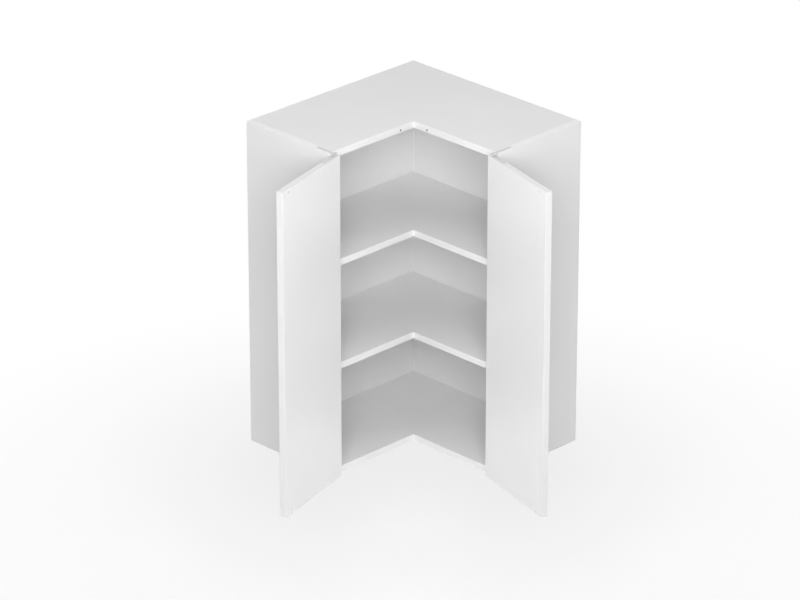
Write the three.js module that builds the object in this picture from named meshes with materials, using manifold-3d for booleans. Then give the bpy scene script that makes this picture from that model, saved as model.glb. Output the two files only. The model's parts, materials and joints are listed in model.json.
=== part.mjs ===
// Corner wall cabinet with an L-shaped plan: two legs along two walls that meet in a corner,
// open shelves inside and one pivot-hung door in front of each leg.
//
// Millimetres, +Z up. The origin is the wall corner at the height of the cabinet's underside.
// The right wall is the plane y = 0 and the left wall the plane x = 0. Plan points are given as
// (u, v): u runs along the right wall, away from the corner, and v runs out from the right wall
// into the room, so x = u and y = -v. The cabinet is its own mirror image across the diagonal
// u = v, so handed pieces are shaped once, for the right leg, and reflected for the left leg.

import * as THREE from 'three';
import { mergeVertices } from 'three/addons/utils/BufferGeometryUtils.js';
import Module from 'manifold-3d';

// ---- Driving dimensions ---------------------------------------------------------------------

// Carcass
const WALL_LENGTH = 600; // along each wall, from the corner to the outer face of the side panel
const DEPTH = 300; // from the wall to the front edges
const HEIGHT = 900;
const BOARD = 18; // side, top and bottom panels
const BACK_BOARD = 8;
const BACK_INSET = 16; // from the wall to the rear face of the back panels
const GROOVE_DEPTH = 8;
const GROOVE_END_GAP = 1; // left free at the bottom of each groove
const POST_ARM = 60; // each arm of the rear corner post, measured along the wall

// Shelves and their line-bored holes
const SHELF_BOARD = 18;
const SHELF_SETBACK = 3; // behind the front edges of the carcass
const SHELF_END_GAP = 1; // to the side panels
const SHELF_BACK_GAP = 1; // to the back panels
const HOLE_PITCH = 32;
const HOLE_COUNT = 18;
const FIRST_HOLE_HEIGHT = 161.5;
const LOWER_SHELF_HOLE = 4; // counted from the lowest hole, which is 0
const UPPER_SHELF_HOLE = 13;
const HOLE_RADIUS = 2.5;
const SIDE_HOLE_DEPTH = 12;
const FRONT_ROW_FROM_FRONT = 37;
const ROW_SPACING = 192;
const BACK_HOLES_PER_SHELF = 3; // the shelf's own hole and the ones under it
const BACK_HOLE_FROM_CORNER = 120;

// Shelf supports
const SUPPORT_FIT = 0.15; // radial play of a support's pin in its hole
const SIDE_PIN_LENGTH = 10;
const BACK_PIN_LENGTH = 7;
const TONGUE_LENGTH = 16;
const TONGUE_WIDTH = 10;
const TONGUE_THICKNESS = 3;
const SUPPORT_SEAT = 2.5; // from the pin's axis up to the shelf's underside
const COLLAR_RADIUS = 4.5;
const COLLAR_THICKNESS = 1.5;

// Doors
const DOOR_BOARD = 19;
const DOOR_GAP = 2; // between the carcass's front edges and a closed door
const HINGE_SIDE_REVEAL = 2; // closed door set in from the outer face of the side panel
const CORNER_GAP = 1.5; // from a closed door's end to the face of the other door
const OPEN_ANGLE = 165; // degrees from closed to the pose that is modelled

// Knife hinges
const PIVOT_FROM_EDGE = 6;
const PIVOT_FROM_INNER_FACE = 11.5;
const LEAF_THICKNESS = 3;
const LEAF_WIDTH = 10;
const CABINET_LEAF_REACH = 45; // behind the front edge of the side panel
const DOOR_LEAF_REACH = 55; // from the pivot along the door
const LEAF_FIT = 0.3; // round a leaf in its recess
const WASHER_THICKNESS = 1;
const WASHER_RADIUS = 5;
const WASHER_PLAY = 0.3; // above and below the washer
const PIN_RADIUS = 2.5;
const PIN_FIT = 0.15;
const PIN_HEAD_RADIUS = 3.6;
const PIN_HEAD_HEIGHT = 1.2;
const PIN_REACH = 4; // below the door leaf
const PIN_BORE_SPARE = 1; // radial and below the pin, in the door board
const SCREW_HOLE_RADIUS = 1.8;
const SCREW_HEAD_RADIUS = 3.2;
const LEAF_SCREW_SPACING = 20;
const LEAF_SCREW_FROM_END = 4; // from the middle of a leaf's round end to its first screw

// Magnetic catches and door bumpers
const CATCH_FROM_DOOR_END = 25;
const CATCH_BELOW_TOP = 11;
const MAGNET_RADIUS = 4;
const MAGNET_LENGTH = 13;
const MAGNET_PROUD = 0.4;
const MAGNET_COLLAR_RADIUS = 5;
const STRIKE_RADIUS = 5.5;
const STRIKE_THICKNESS = 1.2;
const BUMPER_RADIUS = 4;
const BUMPER_THICKNESS = 1.5;
const BUMPER_ABOVE_BOTTOM = 11;
const SEAT_GAP = 0.1; // between a piece and the turned door that carries it
const BORE_FIT = 0.15;

// Wall hangers in the upper rear corners
const HANGER_WIDTH = 21;
const HANGER_DEPTH = 36;
const HANGER_HEIGHT = 60;
const HANGER_WALL = 2.5;
const HANGER_FRONT_WALL = 4;
const HANGER_FLOOR = 4;
const HANGER_ROOF = 6;
const PEG_RADIUS = 5;
const PEG_LENGTH = 11;
const PEG_SPACING = 32;
const HOOK_THICKNESS = 2.5;
const HOOK_WIDTH = 14;
const HOOK_REST_BELOW_TOP = 40; // underside of the hook's bridge, below the cabinet's top
const HOOK_LIP = 11;
const HOOK_TO_WALL = 2.4;
const HOOK_TAB_FROM_BACK = 10;
const HOOK_TAB_DROP = 28;
const HOOK_BRIDGE_REACH = 27; // past the back panel's inner face
const SLOT_SPARE = 5;
const ADJUSTER_RADIUS = 2;
const ADJUSTER_HEAD_RADIUS = 3.5;
const ADJUSTER_HEAD_HEIGHT = 2.5;
const ADJUSTER_FIT = 0.15;
const ADJUSTER_OFFSET = 3.25; // each side of the hanger's middle
const DEPTH_SCREW_BELOW_HOOK = 20;
const HEIGHT_SCREW_FROM_BACK = 23;
const ADJUSTER_OVERRUN = 5; // past the hook that the screw runs through
const RECESS_SLOT_WIDTH = 0.9;
const RECESS_DEPTH = 1.4;
const COVER_WALL = 1.5;
const COVER_FIT = 0.3;
const COVER_DEPTH = 28;

// Steel plates on the wall that the hangers catch
const PLATE_THICKNESS = 2;
const PLATE_LENGTH = 50;
const PLATE_SIDE_GAP = 2; // to the side panel
const PLATE_STEP = 5; // from the wall to the rear face of the upstand
const PLATE_UPSTAND = 13;
const PLATE_FLANGE = 32;
const PLATE_SCREW_SPACING = 26;
const PLATE_SCREW_RADIUS = 2.75;

// Facets, and how far a cutting tool runs past the face it opens
const ROUND_SIDES = 20;
const SMALL_SIDES = 10;
const END_ARC_SIDES = 8;
const OVERCUT = 1;
const MERGE_TOLERANCE = 1e-4;

// ---- Places that follow from the driving dimensions --------------------------------------------

const INNER_SIDE = WALL_LENGTH - BOARD; // inner face of the side panel
const BACK_FACE = BACK_INSET + BACK_BOARD; // inner face of the back panel
const TONGUE_IN_GROOVE = GROOVE_DEPTH - GROOVE_END_GAP;
const UNDER_TOP = HEIGHT - BOARD;
const DOOR_INNER = DEPTH + DOOR_GAP;
const DOOR_OUTER = DOOR_INNER + DOOR_BOARD;
const DOOR_HINGE_END = WALL_LENGTH - HINGE_SIDE_REVEAL;
const DOOR_FREE_END = DOOR_OUTER + CORNER_GAP;
const DOOR_END_GAP = LEAF_THICKNESS + WASHER_THICKNESS + 2 * WASHER_PLAY;
const DOOR_TOP = HEIGHT - DOOR_END_GAP;
const DOOR_BOTTOM = DOOR_END_GAP;
const PIVOT_U = DOOR_HINGE_END - PIVOT_FROM_EDGE;
const PIVOT_V = DOOR_INNER + PIVOT_FROM_INNER_FACE;
const FRONT_ROW = DEPTH - FRONT_ROW_FROM_FRONT;
const REAR_ROW = FRONT_ROW - ROW_SPACING;
const CATCH_U = DOOR_FREE_END + CATCH_FROM_DOOR_END;
const CATCH_Z = HEIGHT - CATCH_BELOW_TOP;
const HANGER_U = INNER_SIDE - HANGER_WIDTH / 2;
const HANGER_FRONT = BACK_FACE + HANGER_DEPTH;
const HANGER_BOTTOM = UNDER_TOP - HANGER_HEIGHT;
const HOOK_REST = HEIGHT - HOOK_REST_BELOW_TOP;
const HOOK_BRIDGE_END = BACK_FACE + HOOK_BRIDGE_REACH;
const HEIGHT_SCREW_U = HANGER_U - ADJUSTER_OFFSET;
const HEIGHT_SCREW_V = BACK_FACE + HEIGHT_SCREW_FROM_BACK;
const DEPTH_SCREW_U = HANGER_U + ADJUSTER_OFFSET;
const DEPTH_SCREW_Z = HOOK_REST - DEPTH_SCREW_BELOW_HOOK;

const holeHeight = (index) => FIRST_HOLE_HEIGHT + index * HOLE_PITCH;
const shelfUnderside = (holeIndex) => holeHeight(holeIndex) + SUPPORT_SEAT;

// ---- Solid tools -----------------------------------------------------------------------------

const wasm = await Module();
wasm.setup();

function toSolid(geometry) {
  const bare = geometry.clone();
  bare.deleteAttribute('normal');
  bare.deleteAttribute('uv');
  const merged = mergeVertices(bare, MERGE_TOLERANCE);
  const vertProperties = merged.attributes.position.array;
  const triVerts = new Uint32Array(merged.index.array);
  return new wasm.Manifold(new wasm.Mesh({ numProp: 3, vertProperties, triVerts }));
}

function toGeometry(solid) {
  const { vertProperties, triVerts } = solid.getMesh();
  const geometry = new THREE.BufferGeometry();
  geometry.setAttribute('position', new THREE.BufferAttribute(new Float32Array(vertProperties), 3));
  geometry.setIndex(new THREE.BufferAttribute(new Uint32Array(triVerts), 1));
  geometry.computeVertexNormals();
  return geometry;
}

const cut = (base, tools) =>
  toGeometry(tools.reduce((solid, tool) => solid.subtract(toSolid(tool)), toSolid(base)));

const fuse = (pieces) =>
  toGeometry(pieces.slice(1).reduce((solid, piece) => solid.add(toSolid(piece)), toSolid(pieces[0])));

// A reflection turns every face inside out, so two corners of each triangle change places.
function reflected(geometry, matrix) {
  const copy = geometry.index ? geometry.clone() : mergeVertices(geometry);
  copy.applyMatrix4(matrix);
  const corners = copy.index.array;
  for (let i = 0; i < corners.length; i += 3) {
    [corners[i + 1], corners[i + 2]] = [corners[i + 2], corners[i + 1]];
  }
  return copy;
}

const ACROSS_DIAGONAL = new THREE.Matrix4().set(0, -1, 0, 0, -1, 0, 0, 0, 0, 0, 1, 0, 0, 0, 0, 1);
const TOP_TO_BOTTOM = new THREE.Matrix4().set(1, 0, 0, 0, 0, 1, 0, 0, 0, 0, -1, HEIGHT, 0, 0, 0, 1);
const leftCopy = (geometry) => reflected(geometry, ACROSS_DIAGONAL);
const lowerCopy = (geometry) => reflected(geometry, TOP_TO_BOTTOM);
const upperAndLower = (geometry) => [geometry, lowerCopy(geometry)];

function block([u0, u1], [v0, v1], [z0, z1]) {
  const box = new THREE.BoxGeometry(u1 - u0, v1 - v0, z1 - z0);
  return box.translate((u0 + u1) / 2, -(v0 + v1) / 2, (z0 + z1) / 2);
}

function prism(outline, [z0, z1]) {
  const shape = new THREE.Shape(outline.map(([u, v]) => new THREE.Vector2(u, -v)));
  const body = new THREE.ExtrudeGeometry(shape, { depth: z1 - z0, bevelEnabled: false });
  return body.translate(0, 0, z0);
}

// A flat bar with round ends whose centres are the two plan points.
function roundEndedBar([u0, v0], [u1, v1], radius, [z0, z1]) {
  const length = Math.hypot(u1 - u0, v1 - v0);
  const shape = new THREE.Shape();
  shape.absarc(0, 0, radius, Math.PI / 2, 1.5 * Math.PI);
  shape.absarc(length, 0, radius, -Math.PI / 2, Math.PI / 2);
  const options = { depth: z1 - z0, bevelEnabled: false, curveSegments: END_ARC_SIDES };
  const body = new THREE.ExtrudeGeometry(shape, options);
  return body.rotateZ(Math.atan2(v0 - v1, u1 - u0)).translate(u0, -v0, z0);
}

// A turned piece on the Z axis. The profile lists [radius, height] pairs from bottom to top.
function turned(profile, sides) {
  const points = profile.map(([radius, height]) => new THREE.Vector2(radius, height));
  return new THREE.LatheGeometry(points, sides).rotateX(Math.PI / 2);
}

const rodAlongU = (radius, [u0, u1], v, z, sides) =>
  new THREE.CylinderGeometry(radius, radius, u1 - u0, sides)
    .rotateZ(Math.PI / 2)
    .translate((u0 + u1) / 2, -v, z);

const rodAlongV = (radius, [v0, v1], u, z, sides) =>
  new THREE.CylinderGeometry(radius, radius, v1 - v0, sides).translate(u, -(v0 + v1) / 2, z);

const rodAlongZ = (radius, [z0, z1], u, v, sides) =>
  new THREE.CylinderGeometry(radius, radius, z1 - z0, sides)
    .rotateX(Math.PI / 2)
    .translate(u, -v, (z0 + z1) / 2);

// ---- Materials -------------------------------------------------------------------------------

const melamine = new THREE.MeshStandardMaterial({ color: 0xededed, roughness: 0.55 });
const doorLacquer = new THREE.MeshStandardMaterial({ color: 0xffffff, roughness: 0.4 });
const backMelamine = new THREE.MeshStandardMaterial({ color: 0xededed, roughness: 0.6 });
const postWood = new THREE.MeshStandardMaterial({ color: 0xd8c7a8, roughness: 0.8 });
const zincSteel = new THREE.MeshStandardMaterial({ color: 0xb9bcc0, roughness: 0.35, metalness: 1 });
const brightSteel = new THREE.MeshStandardMaterial({ color: 0xd2d4d6, roughness: 0.2, metalness: 1 });
const whiteNylon = new THREE.MeshStandardMaterial({ color: 0xf1f1ee, roughness: 0.5 });
const whiteSteel = new THREE.MeshStandardMaterial({ color: 0xf4f4f4, roughness: 0.45 });
const clearRubber = new THREE.MeshStandardMaterial({ color: 0xe9ecee, roughness: 0.3 });

// ---- Carcass ---------------------------------------------------------------------------------

const panelHeightInGrooves = [BOARD - TONGUE_IN_GROOVE, UNDER_TOP + TONGUE_IN_GROOVE];

function sidePanel() {
  const panel = block([INNER_SIDE, WALL_LENGTH], [0, DEPTH], [0, HEIGHT]);
  const groove = block(
    [INNER_SIDE - OVERCUT, INNER_SIDE + GROOVE_DEPTH],
    [BACK_INSET, BACK_FACE],
    [BOARD - GROOVE_DEPTH, UNDER_TOP + GROOVE_DEPTH],
  );
  const holeSpan = [INNER_SIDE - OVERCUT, INNER_SIDE + SIDE_HOLE_DEPTH];
  const holes = [];
  for (let index = 0; index < HOLE_COUNT; index++) {
    for (const row of [FRONT_ROW, REAR_ROW]) {
      holes.push(rodAlongU(HOLE_RADIUS, holeSpan, row, holeHeight(index), SMALL_SIDES));
    }
  }
  const pegHoles = pegHeights().map((z) =>
    rodAlongU(
      PEG_RADIUS + BORE_FIT,
      [INNER_SIDE - OVERCUT, INNER_SIDE + PEG_LENGTH + BORE_FIT],
      pegFromWall(),
      z,
      ROUND_SIDES,
    ),
  );
  return cut(panel, [groove, ...holes, ...pegHoles, ...upperAndLower(cabinetLeafRecess())]);
}

// The L-shaped plan of a board between the side panels, inset from walls, ends and front edges.
const boardOutline = (fromWall, fromSide, fromFront) => [
  [fromWall, fromWall],
  [INNER_SIDE - fromSide, fromWall],
  [INNER_SIDE - fromSide, DEPTH - fromFront],
  [DEPTH - fromFront, DEPTH - fromFront],
  [DEPTH - fromFront, INNER_SIDE - fromSide],
  [fromWall, INNER_SIDE - fromSide],
];

function backGrooves([z0, z1]) {
  const along = [BACK_INSET, INNER_SIDE + OVERCUT];
  const across = [BACK_INSET, BACK_FACE];
  return [block(along, across, [z0, z1]), block(across, along, [z0, z1])];
}

function topPanel() {
  const board = prism(boardOutline(0, 0, 0), [UNDER_TOP, HEIGHT]);
  const grooves = backGrooves([UNDER_TOP - OVERCUT, UNDER_TOP + GROOVE_DEPTH]);
  const magnetBore = rodAlongV(
    MAGNET_RADIUS + BORE_FIT,
    [DEPTH - MAGNET_LENGTH - BORE_FIT, DEPTH + OVERCUT],
    CATCH_U,
    CATCH_Z,
    ROUND_SIDES,
  );
  return cut(board, [...grooves, magnetBore, leftCopy(magnetBore)]);
}

function bottomPanel() {
  const board = prism(boardOutline(0, 0, 0), [0, BOARD]);
  return cut(board, backGrooves([BOARD - GROOVE_DEPTH, BOARD + OVERCUT]));
}

function hangerSlot() {
  const halfWidth = HOOK_WIDTH / 2 + SLOT_SPARE / 2;
  return block(
    [HANGER_U - halfWidth, HANGER_U + halfWidth],
    [BACK_INSET - OVERCUT, BACK_FACE + OVERCUT],
    [HOOK_REST - SLOT_SPARE, HOOK_REST + HOOK_THICKNESS + SLOT_SPARE],
  );
}

function backHoles() {
  const holes = [];
  for (const shelfHole of [LOWER_SHELF_HOLE, UPPER_SHELF_HOLE]) {
    for (let below = 0; below < BACK_HOLES_PER_SHELF; below++) {
      const span = [BACK_INSET - OVERCUT, BACK_FACE + OVERCUT];
      const z = holeHeight(shelfHole - below);
      holes.push(rodAlongV(HOLE_RADIUS, span, BACK_HOLE_FROM_CORNER, z, SMALL_SIDES));
    }
  }
  return holes;
}

// The right back panel runs through to the corner, and the left one butts against it.
function backPanel(cornerEnd) {
  const panel = block(
    [cornerEnd, INNER_SIDE + TONGUE_IN_GROOVE],
    [BACK_INSET, BACK_FACE],
    panelHeightInGrooves,
  );
  return cut(panel, [...backHoles(), hangerSlot()]);
}

const rearCornerPost = () =>
  prism(
    [
      [0, 0],
      [POST_ARM, 0],
      [POST_ARM, BACK_INSET],
      [BACK_INSET, BACK_INSET],
      [BACK_INSET, POST_ARM],
      [0, POST_ARM],
    ],
    [BOARD, UNDER_TOP],
  );

// ---- Shelves ---------------------------------------------------------------------------------

function shelf(holeIndex) {
  const outline = boardOutline(BACK_FACE + SHELF_BACK_GAP, SHELF_END_GAP, SHELF_SETBACK);
  const underside = shelfUnderside(holeIndex);
  return prism(outline, [underside, underside + SHELF_BOARD]);
}

// Pin along +X into the panel, tongue along -X under the shelf, origin at the mouth of the hole.
function shelfSupport(pinLength) {
  const collarSpan = [-COLLAR_THICKNESS, 0];
  const pin = rodAlongU(HOLE_RADIUS - SUPPORT_FIT, [-OVERCUT, pinLength], 0, 0, SMALL_SIDES);
  const collar = rodAlongU(COLLAR_RADIUS, collarSpan, 0, 0, SMALL_SIDES);
  const halfWidth = TONGUE_WIDTH / 2;
  const tongueHeights = [SUPPORT_SEAT - TONGUE_THICKNESS, SUPPORT_SEAT];
  const tongue = roundEndedBar([halfWidth - TONGUE_LENGTH, 0], [0, 0], halfWidth, tongueHeights);
  const beyondFace = block([0, COLLAR_RADIUS * 2], [-TONGUE_WIDTH, TONGUE_WIDTH], tongueHeights);
  const aboveSeat = block(
    [-COLLAR_THICKNESS - OVERCUT, OVERCUT],
    [-TONGUE_WIDTH, TONGUE_WIDTH],
    [SUPPORT_SEAT, SUPPORT_SEAT + COLLAR_RADIUS],
  );
  return fuse([cut(tongue, [beyondFace]), cut(collar, [aboveSeat]), pin]);
}

// ---- Doors and knife hinges, shaped closed -----------------------------------------------------

const cabinetLeafHeights = [HEIGHT - LEAF_THICKNESS, HEIGHT];
const doorLeafHeights = [DOOR_TOP - LEAF_THICKNESS, DOOR_TOP];
const PIN_BOTTOM = DOOR_TOP - LEAF_THICKNESS - PIN_REACH;

const cabinetLeafRecess = () =>
  roundEndedBar(
    [PIVOT_U, DEPTH - CABINET_LEAF_REACH],
    [PIVOT_U, DEPTH + LEAF_WIDTH],
    LEAF_WIDTH / 2 + LEAF_FIT,
    [HEIGHT - LEAF_THICKNESS, HEIGHT + OVERCUT],
  );

const doorLeafRecess = () =>
  roundEndedBar(
    [PIVOT_U - DOOR_LEAF_REACH, PIVOT_V],
    [PIVOT_U + LEAF_WIDTH, PIVOT_V],
    LEAF_WIDTH / 2 + LEAF_FIT,
    [DOOR_TOP - LEAF_THICKNESS, DOOR_TOP + OVERCUT],
  );

// A countersunk hole down through a leaf whose top face is at the given height.
const screwHole = (u, v, top) =>
  turned(
    [
      [0, -LEAF_THICKNESS - OVERCUT],
      [SCREW_HOLE_RADIUS, -LEAF_THICKNESS - OVERCUT],
      [SCREW_HOLE_RADIUS, SCREW_HOLE_RADIUS - SCREW_HEAD_RADIUS],
      [SCREW_HEAD_RADIUS, 0],
      [SCREW_HEAD_RADIUS, OVERCUT],
      [0, OVERCUT],
    ],
    SMALL_SIDES,
  ).translate(u, -v, top);

// The pin is riveted into the cabinet leaf: its head fills the leaf's countersink.
const pinSide = (play) => [
  [PIN_RADIUS + play, PIN_BOTTOM],
  [PIN_RADIUS + play, HEIGHT - PIN_HEAD_HEIGHT],
  [PIN_HEAD_RADIUS + play, HEIGHT],
];

const hingePin = () =>
  turned([[0, PIN_BOTTOM], ...pinSide(0), [0, HEIGHT]], ROUND_SIDES).translate(PIVOT_U, -PIVOT_V, 0);

function hingePinHole() {
  const mouth = [PIN_HEAD_RADIUS + PIN_FIT, HEIGHT + OVERCUT];
  const profile = [[0, PIN_BOTTOM], ...pinSide(PIN_FIT), mouth, [0, HEIGHT + OVERCUT]];
  return turned(profile, ROUND_SIDES).translate(PIVOT_U, -PIVOT_V, 0);
}

function cabinetLeaf() {
  const rearEnd = DEPTH - CABINET_LEAF_REACH;
  const leaf = roundEndedBar(
    [PIVOT_U, rearEnd],
    [PIVOT_U, PIVOT_V],
    LEAF_WIDTH / 2,
    cabinetLeafHeights,
  );
  const firstScrew = rearEnd + LEAF_SCREW_FROM_END;
  const screws = [firstScrew, firstScrew + LEAF_SCREW_SPACING].map((v) => screwHole(PIVOT_U, v, HEIGHT));
  return cut(leaf, [hingePinHole(), ...screws]);
}

function doorLeaf() {
  const farEnd = PIVOT_U - DOOR_LEAF_REACH;
  const leaf = roundEndedBar([farEnd, PIVOT_V], [PIVOT_U, PIVOT_V], LEAF_WIDTH / 2, doorLeafHeights);
  const firstScrew = farEnd + LEAF_SCREW_FROM_END;
  const screws = [firstScrew, firstScrew + LEAF_SCREW_SPACING].map((u) => screwHole(u, PIVOT_V, DOOR_TOP));
  return cut(leaf, [hingePinHole(), ...screws]);
}

function hingeWasher() {
  const bottom = DOOR_TOP + WASHER_PLAY;
  const heights = [bottom, bottom + WASHER_THICKNESS];
  const disc = rodAlongZ(WASHER_RADIUS, heights, PIVOT_U, PIVOT_V, ROUND_SIDES);
  return cut(disc, [hingePinHole()]);
}

function door() {
  const slab = block([DOOR_FREE_END, DOOR_HINGE_END], [DOOR_INNER, DOOR_OUTER], [DOOR_BOTTOM, DOOR_TOP]);
  const boreHeights = [PIN_BOTTOM - PIN_BORE_SPARE, DOOR_TOP];
  const pinBore = rodAlongZ(PIN_RADIUS + PIN_BORE_SPARE, boreHeights, PIVOT_U, PIVOT_V, ROUND_SIDES);
  return cut(slab, [...upperAndLower(doorLeafRecess()), ...upperAndLower(pinBore)]);
}

// ---- Catches and bumpers -----------------------------------------------------------------------

function catchMagnet() {
  const body = rodAlongV(MAGNET_RADIUS, [DEPTH - MAGNET_LENGTH, DEPTH + MAGNET_PROUD], CATCH_U, CATCH_Z,
    ROUND_SIDES);
  const collar = rodAlongV(MAGNET_COLLAR_RADIUS, [DEPTH, DEPTH + MAGNET_PROUD], CATCH_U, CATCH_Z,
    ROUND_SIDES);
  return fuse([body, collar]);
}

// Discs that lie on the inner face of the closed door. Their turning axis points at the carcass.
const onDoorFace = (profile, z) =>
  turned(profile, ROUND_SIDES).rotateX(-Math.PI / 2).translate(CATCH_U, SEAT_GAP - DOOR_INNER, z);

const catchStrike = () =>
  cut(
    onDoorFace(
      [
        [0, 0],
        [STRIKE_RADIUS, 0],
        [STRIKE_RADIUS, STRIKE_THICKNESS / 2],
        [STRIKE_RADIUS - STRIKE_THICKNESS / 2, STRIKE_THICKNESS],
        [0, STRIKE_THICKNESS],
      ],
      CATCH_Z,
    ),
    [rodAlongV(SCREW_HOLE_RADIUS, [DEPTH, DOOR_OUTER], CATCH_U, CATCH_Z, SMALL_SIDES)],
  );

const doorBumper = () =>
  onDoorFace(
    [
      [0, 0],
      [BUMPER_RADIUS, 0],
      [BUMPER_RADIUS, BUMPER_THICKNESS / 3],
      [BUMPER_RADIUS * 0.8, BUMPER_THICKNESS * 0.8],
      [BUMPER_RADIUS * 0.4, BUMPER_THICKNESS],
      [0, BUMPER_THICKNESS],
    ],
    BUMPER_ABOVE_BOTTOM,
  );

// ---- Wall hangers ------------------------------------------------------------------------------

const pegFromWall = () => BACK_FACE + HANGER_DEPTH / 2;
const pegHeights = () => {
  const middle = HANGER_BOTTOM + HANGER_HEIGHT / 2;
  return [middle - PEG_SPACING / 2, middle + PEG_SPACING / 2];
};

function hangerHousing() {
  const left = INNER_SIDE - HANGER_WIDTH;
  const body = block([left, INNER_SIDE], [BACK_FACE, HANGER_FRONT], [HANGER_BOTTOM, UNDER_TOP]);
  const cavity = block(
    [left + HANGER_WALL, INNER_SIDE - HANGER_WALL],
    [BACK_FACE - OVERCUT, HANGER_FRONT - HANGER_FRONT_WALL],
    [HANGER_BOTTOM + HANGER_FLOOR, UNDER_TOP - HANGER_ROOF],
  );
  const pegs = pegHeights().map((z) =>
    rodAlongU(PEG_RADIUS, [INNER_SIDE - OVERCUT, INNER_SIDE + PEG_LENGTH], pegFromWall(), z, ROUND_SIDES),
  );
  const headRadius = ADJUSTER_HEAD_RADIUS + ADJUSTER_FIT;
  const shankRadius = ADJUSTER_RADIUS + ADJUSTER_FIT;
  const frontWall = [HANGER_FRONT - HANGER_FRONT_WALL - OVERCUT, HANGER_FRONT + OVERCUT];
  const frontSink = [HANGER_FRONT - ADJUSTER_HEAD_HEIGHT - ADJUSTER_FIT, HANGER_FRONT + OVERCUT];
  const floor = [HANGER_BOTTOM - OVERCUT, HANGER_BOTTOM + HANGER_FLOOR + OVERCUT];
  const floorSink = [HANGER_BOTTOM - OVERCUT, HANGER_BOTTOM + ADJUSTER_HEAD_HEIGHT + ADJUSTER_FIT];
  const shell = cut(body, [
    cavity,
    rodAlongV(shankRadius, frontWall, DEPTH_SCREW_U, DEPTH_SCREW_Z, SMALL_SIDES),
    rodAlongV(headRadius, frontSink, DEPTH_SCREW_U, DEPTH_SCREW_Z, SMALL_SIDES),
    rodAlongZ(shankRadius, floor, HEIGHT_SCREW_U, HEIGHT_SCREW_V, SMALL_SIDES),
    rodAlongZ(headRadius, floorSink, HEIGHT_SCREW_U, HEIGHT_SCREW_V, SMALL_SIDES),
  ]);
  return fuse([shell, ...pegs]);
}

// Bent steel strip: a lip behind the wall plate, a bridge through the back panel and a tab inside.
function hangerHook() {
  const across = [HANGER_U - HOOK_WIDTH / 2, HANGER_U + HOOK_WIDTH / 2];
  const bridgeTop = HOOK_REST + HOOK_THICKNESS;
  const tabRear = BACK_FACE + HOOK_TAB_FROM_BACK;
  const bridge = block(across, [HOOK_TO_WALL, HOOK_BRIDGE_END], [HOOK_REST, bridgeTop]);
  const lip = block(across, [HOOK_TO_WALL, hookLipFront()], [HOOK_REST - HOOK_LIP, bridgeTop]);
  const tab = block(across, [tabRear, tabRear + HOOK_THICKNESS], [HOOK_REST - HOOK_TAB_DROP, bridgeTop]);
  const radius = ADJUSTER_RADIUS + ADJUSTER_FIT;
  const bridgeHole = [HOOK_REST - OVERCUT, bridgeTop + OVERCUT];
  const tabHole = [tabRear - OVERCUT, tabRear + HOOK_THICKNESS + OVERCUT];
  return cut(fuse([bridge, lip, tab]), [
    rodAlongZ(radius, bridgeHole, HEIGHT_SCREW_U, HEIGHT_SCREW_V, SMALL_SIDES),
    rodAlongV(radius, tabHole, DEPTH_SCREW_U, DEPTH_SCREW_Z, SMALL_SIDES),
  ]);
}

const hookLipFront = () => PLATE_STEP - ADJUSTER_FIT * 3;

// Head at z = 0, shank upwards, with a cross recess in the head.
function adjusterScrew(length) {
  const screw = turned(
    [
      [0, 0],
      [ADJUSTER_HEAD_RADIUS, 0],
      [ADJUSTER_HEAD_RADIUS, ADJUSTER_HEAD_HEIGHT],
      [ADJUSTER_RADIUS, ADJUSTER_HEAD_HEIGHT],
      [ADJUSTER_RADIUS, length - ADJUSTER_RADIUS / 2],
      [ADJUSTER_RADIUS / 2, length],
      [0, length],
    ],
    SMALL_SIDES,
  );
  const wide = [-ADJUSTER_RADIUS, ADJUSTER_RADIUS];
  const narrow = [-RECESS_SLOT_WIDTH / 2, RECESS_SLOT_WIDTH / 2];
  const deep = [-OVERCUT, RECESS_DEPTH];
  return cut(screw, [block(wide, narrow, deep), block(narrow, wide, deep)]);
}

const heightScrew = () =>
  adjusterScrew(HOOK_REST + HOOK_THICKNESS + ADJUSTER_OVERRUN - HANGER_BOTTOM).translate(
    HEIGHT_SCREW_U,
    -HEIGHT_SCREW_V,
    HANGER_BOTTOM,
  );

const depthScrew = () =>
  adjusterScrew(HANGER_FRONT - BACK_FACE - HOOK_TAB_FROM_BACK + ADJUSTER_OVERRUN)
    .rotateX(-Math.PI / 2)
    .translate(DEPTH_SCREW_U, -HANGER_FRONT, DEPTH_SCREW_Z);

// Clip-on cover over the front, the free side and the underside of the housing.
function hangerCover() {
  const left = INNER_SIDE - HANGER_WIDTH - COVER_FIT;
  const front = HANGER_FRONT + COVER_FIT;
  const bottom = HANGER_BOTTOM - COVER_FIT;
  const rear = front - COVER_DEPTH;
  const outside = block(
    [left - COVER_WALL, INNER_SIDE],
    [rear, front + COVER_WALL],
    [bottom - COVER_WALL, UNDER_TOP],
  );
  const inside = block(
    [left, INNER_SIDE + OVERCUT],
    [rear - OVERCUT, front],
    [bottom, UNDER_TOP + OVERCUT],
  );
  return cut(outside, [inside]);
}

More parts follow.
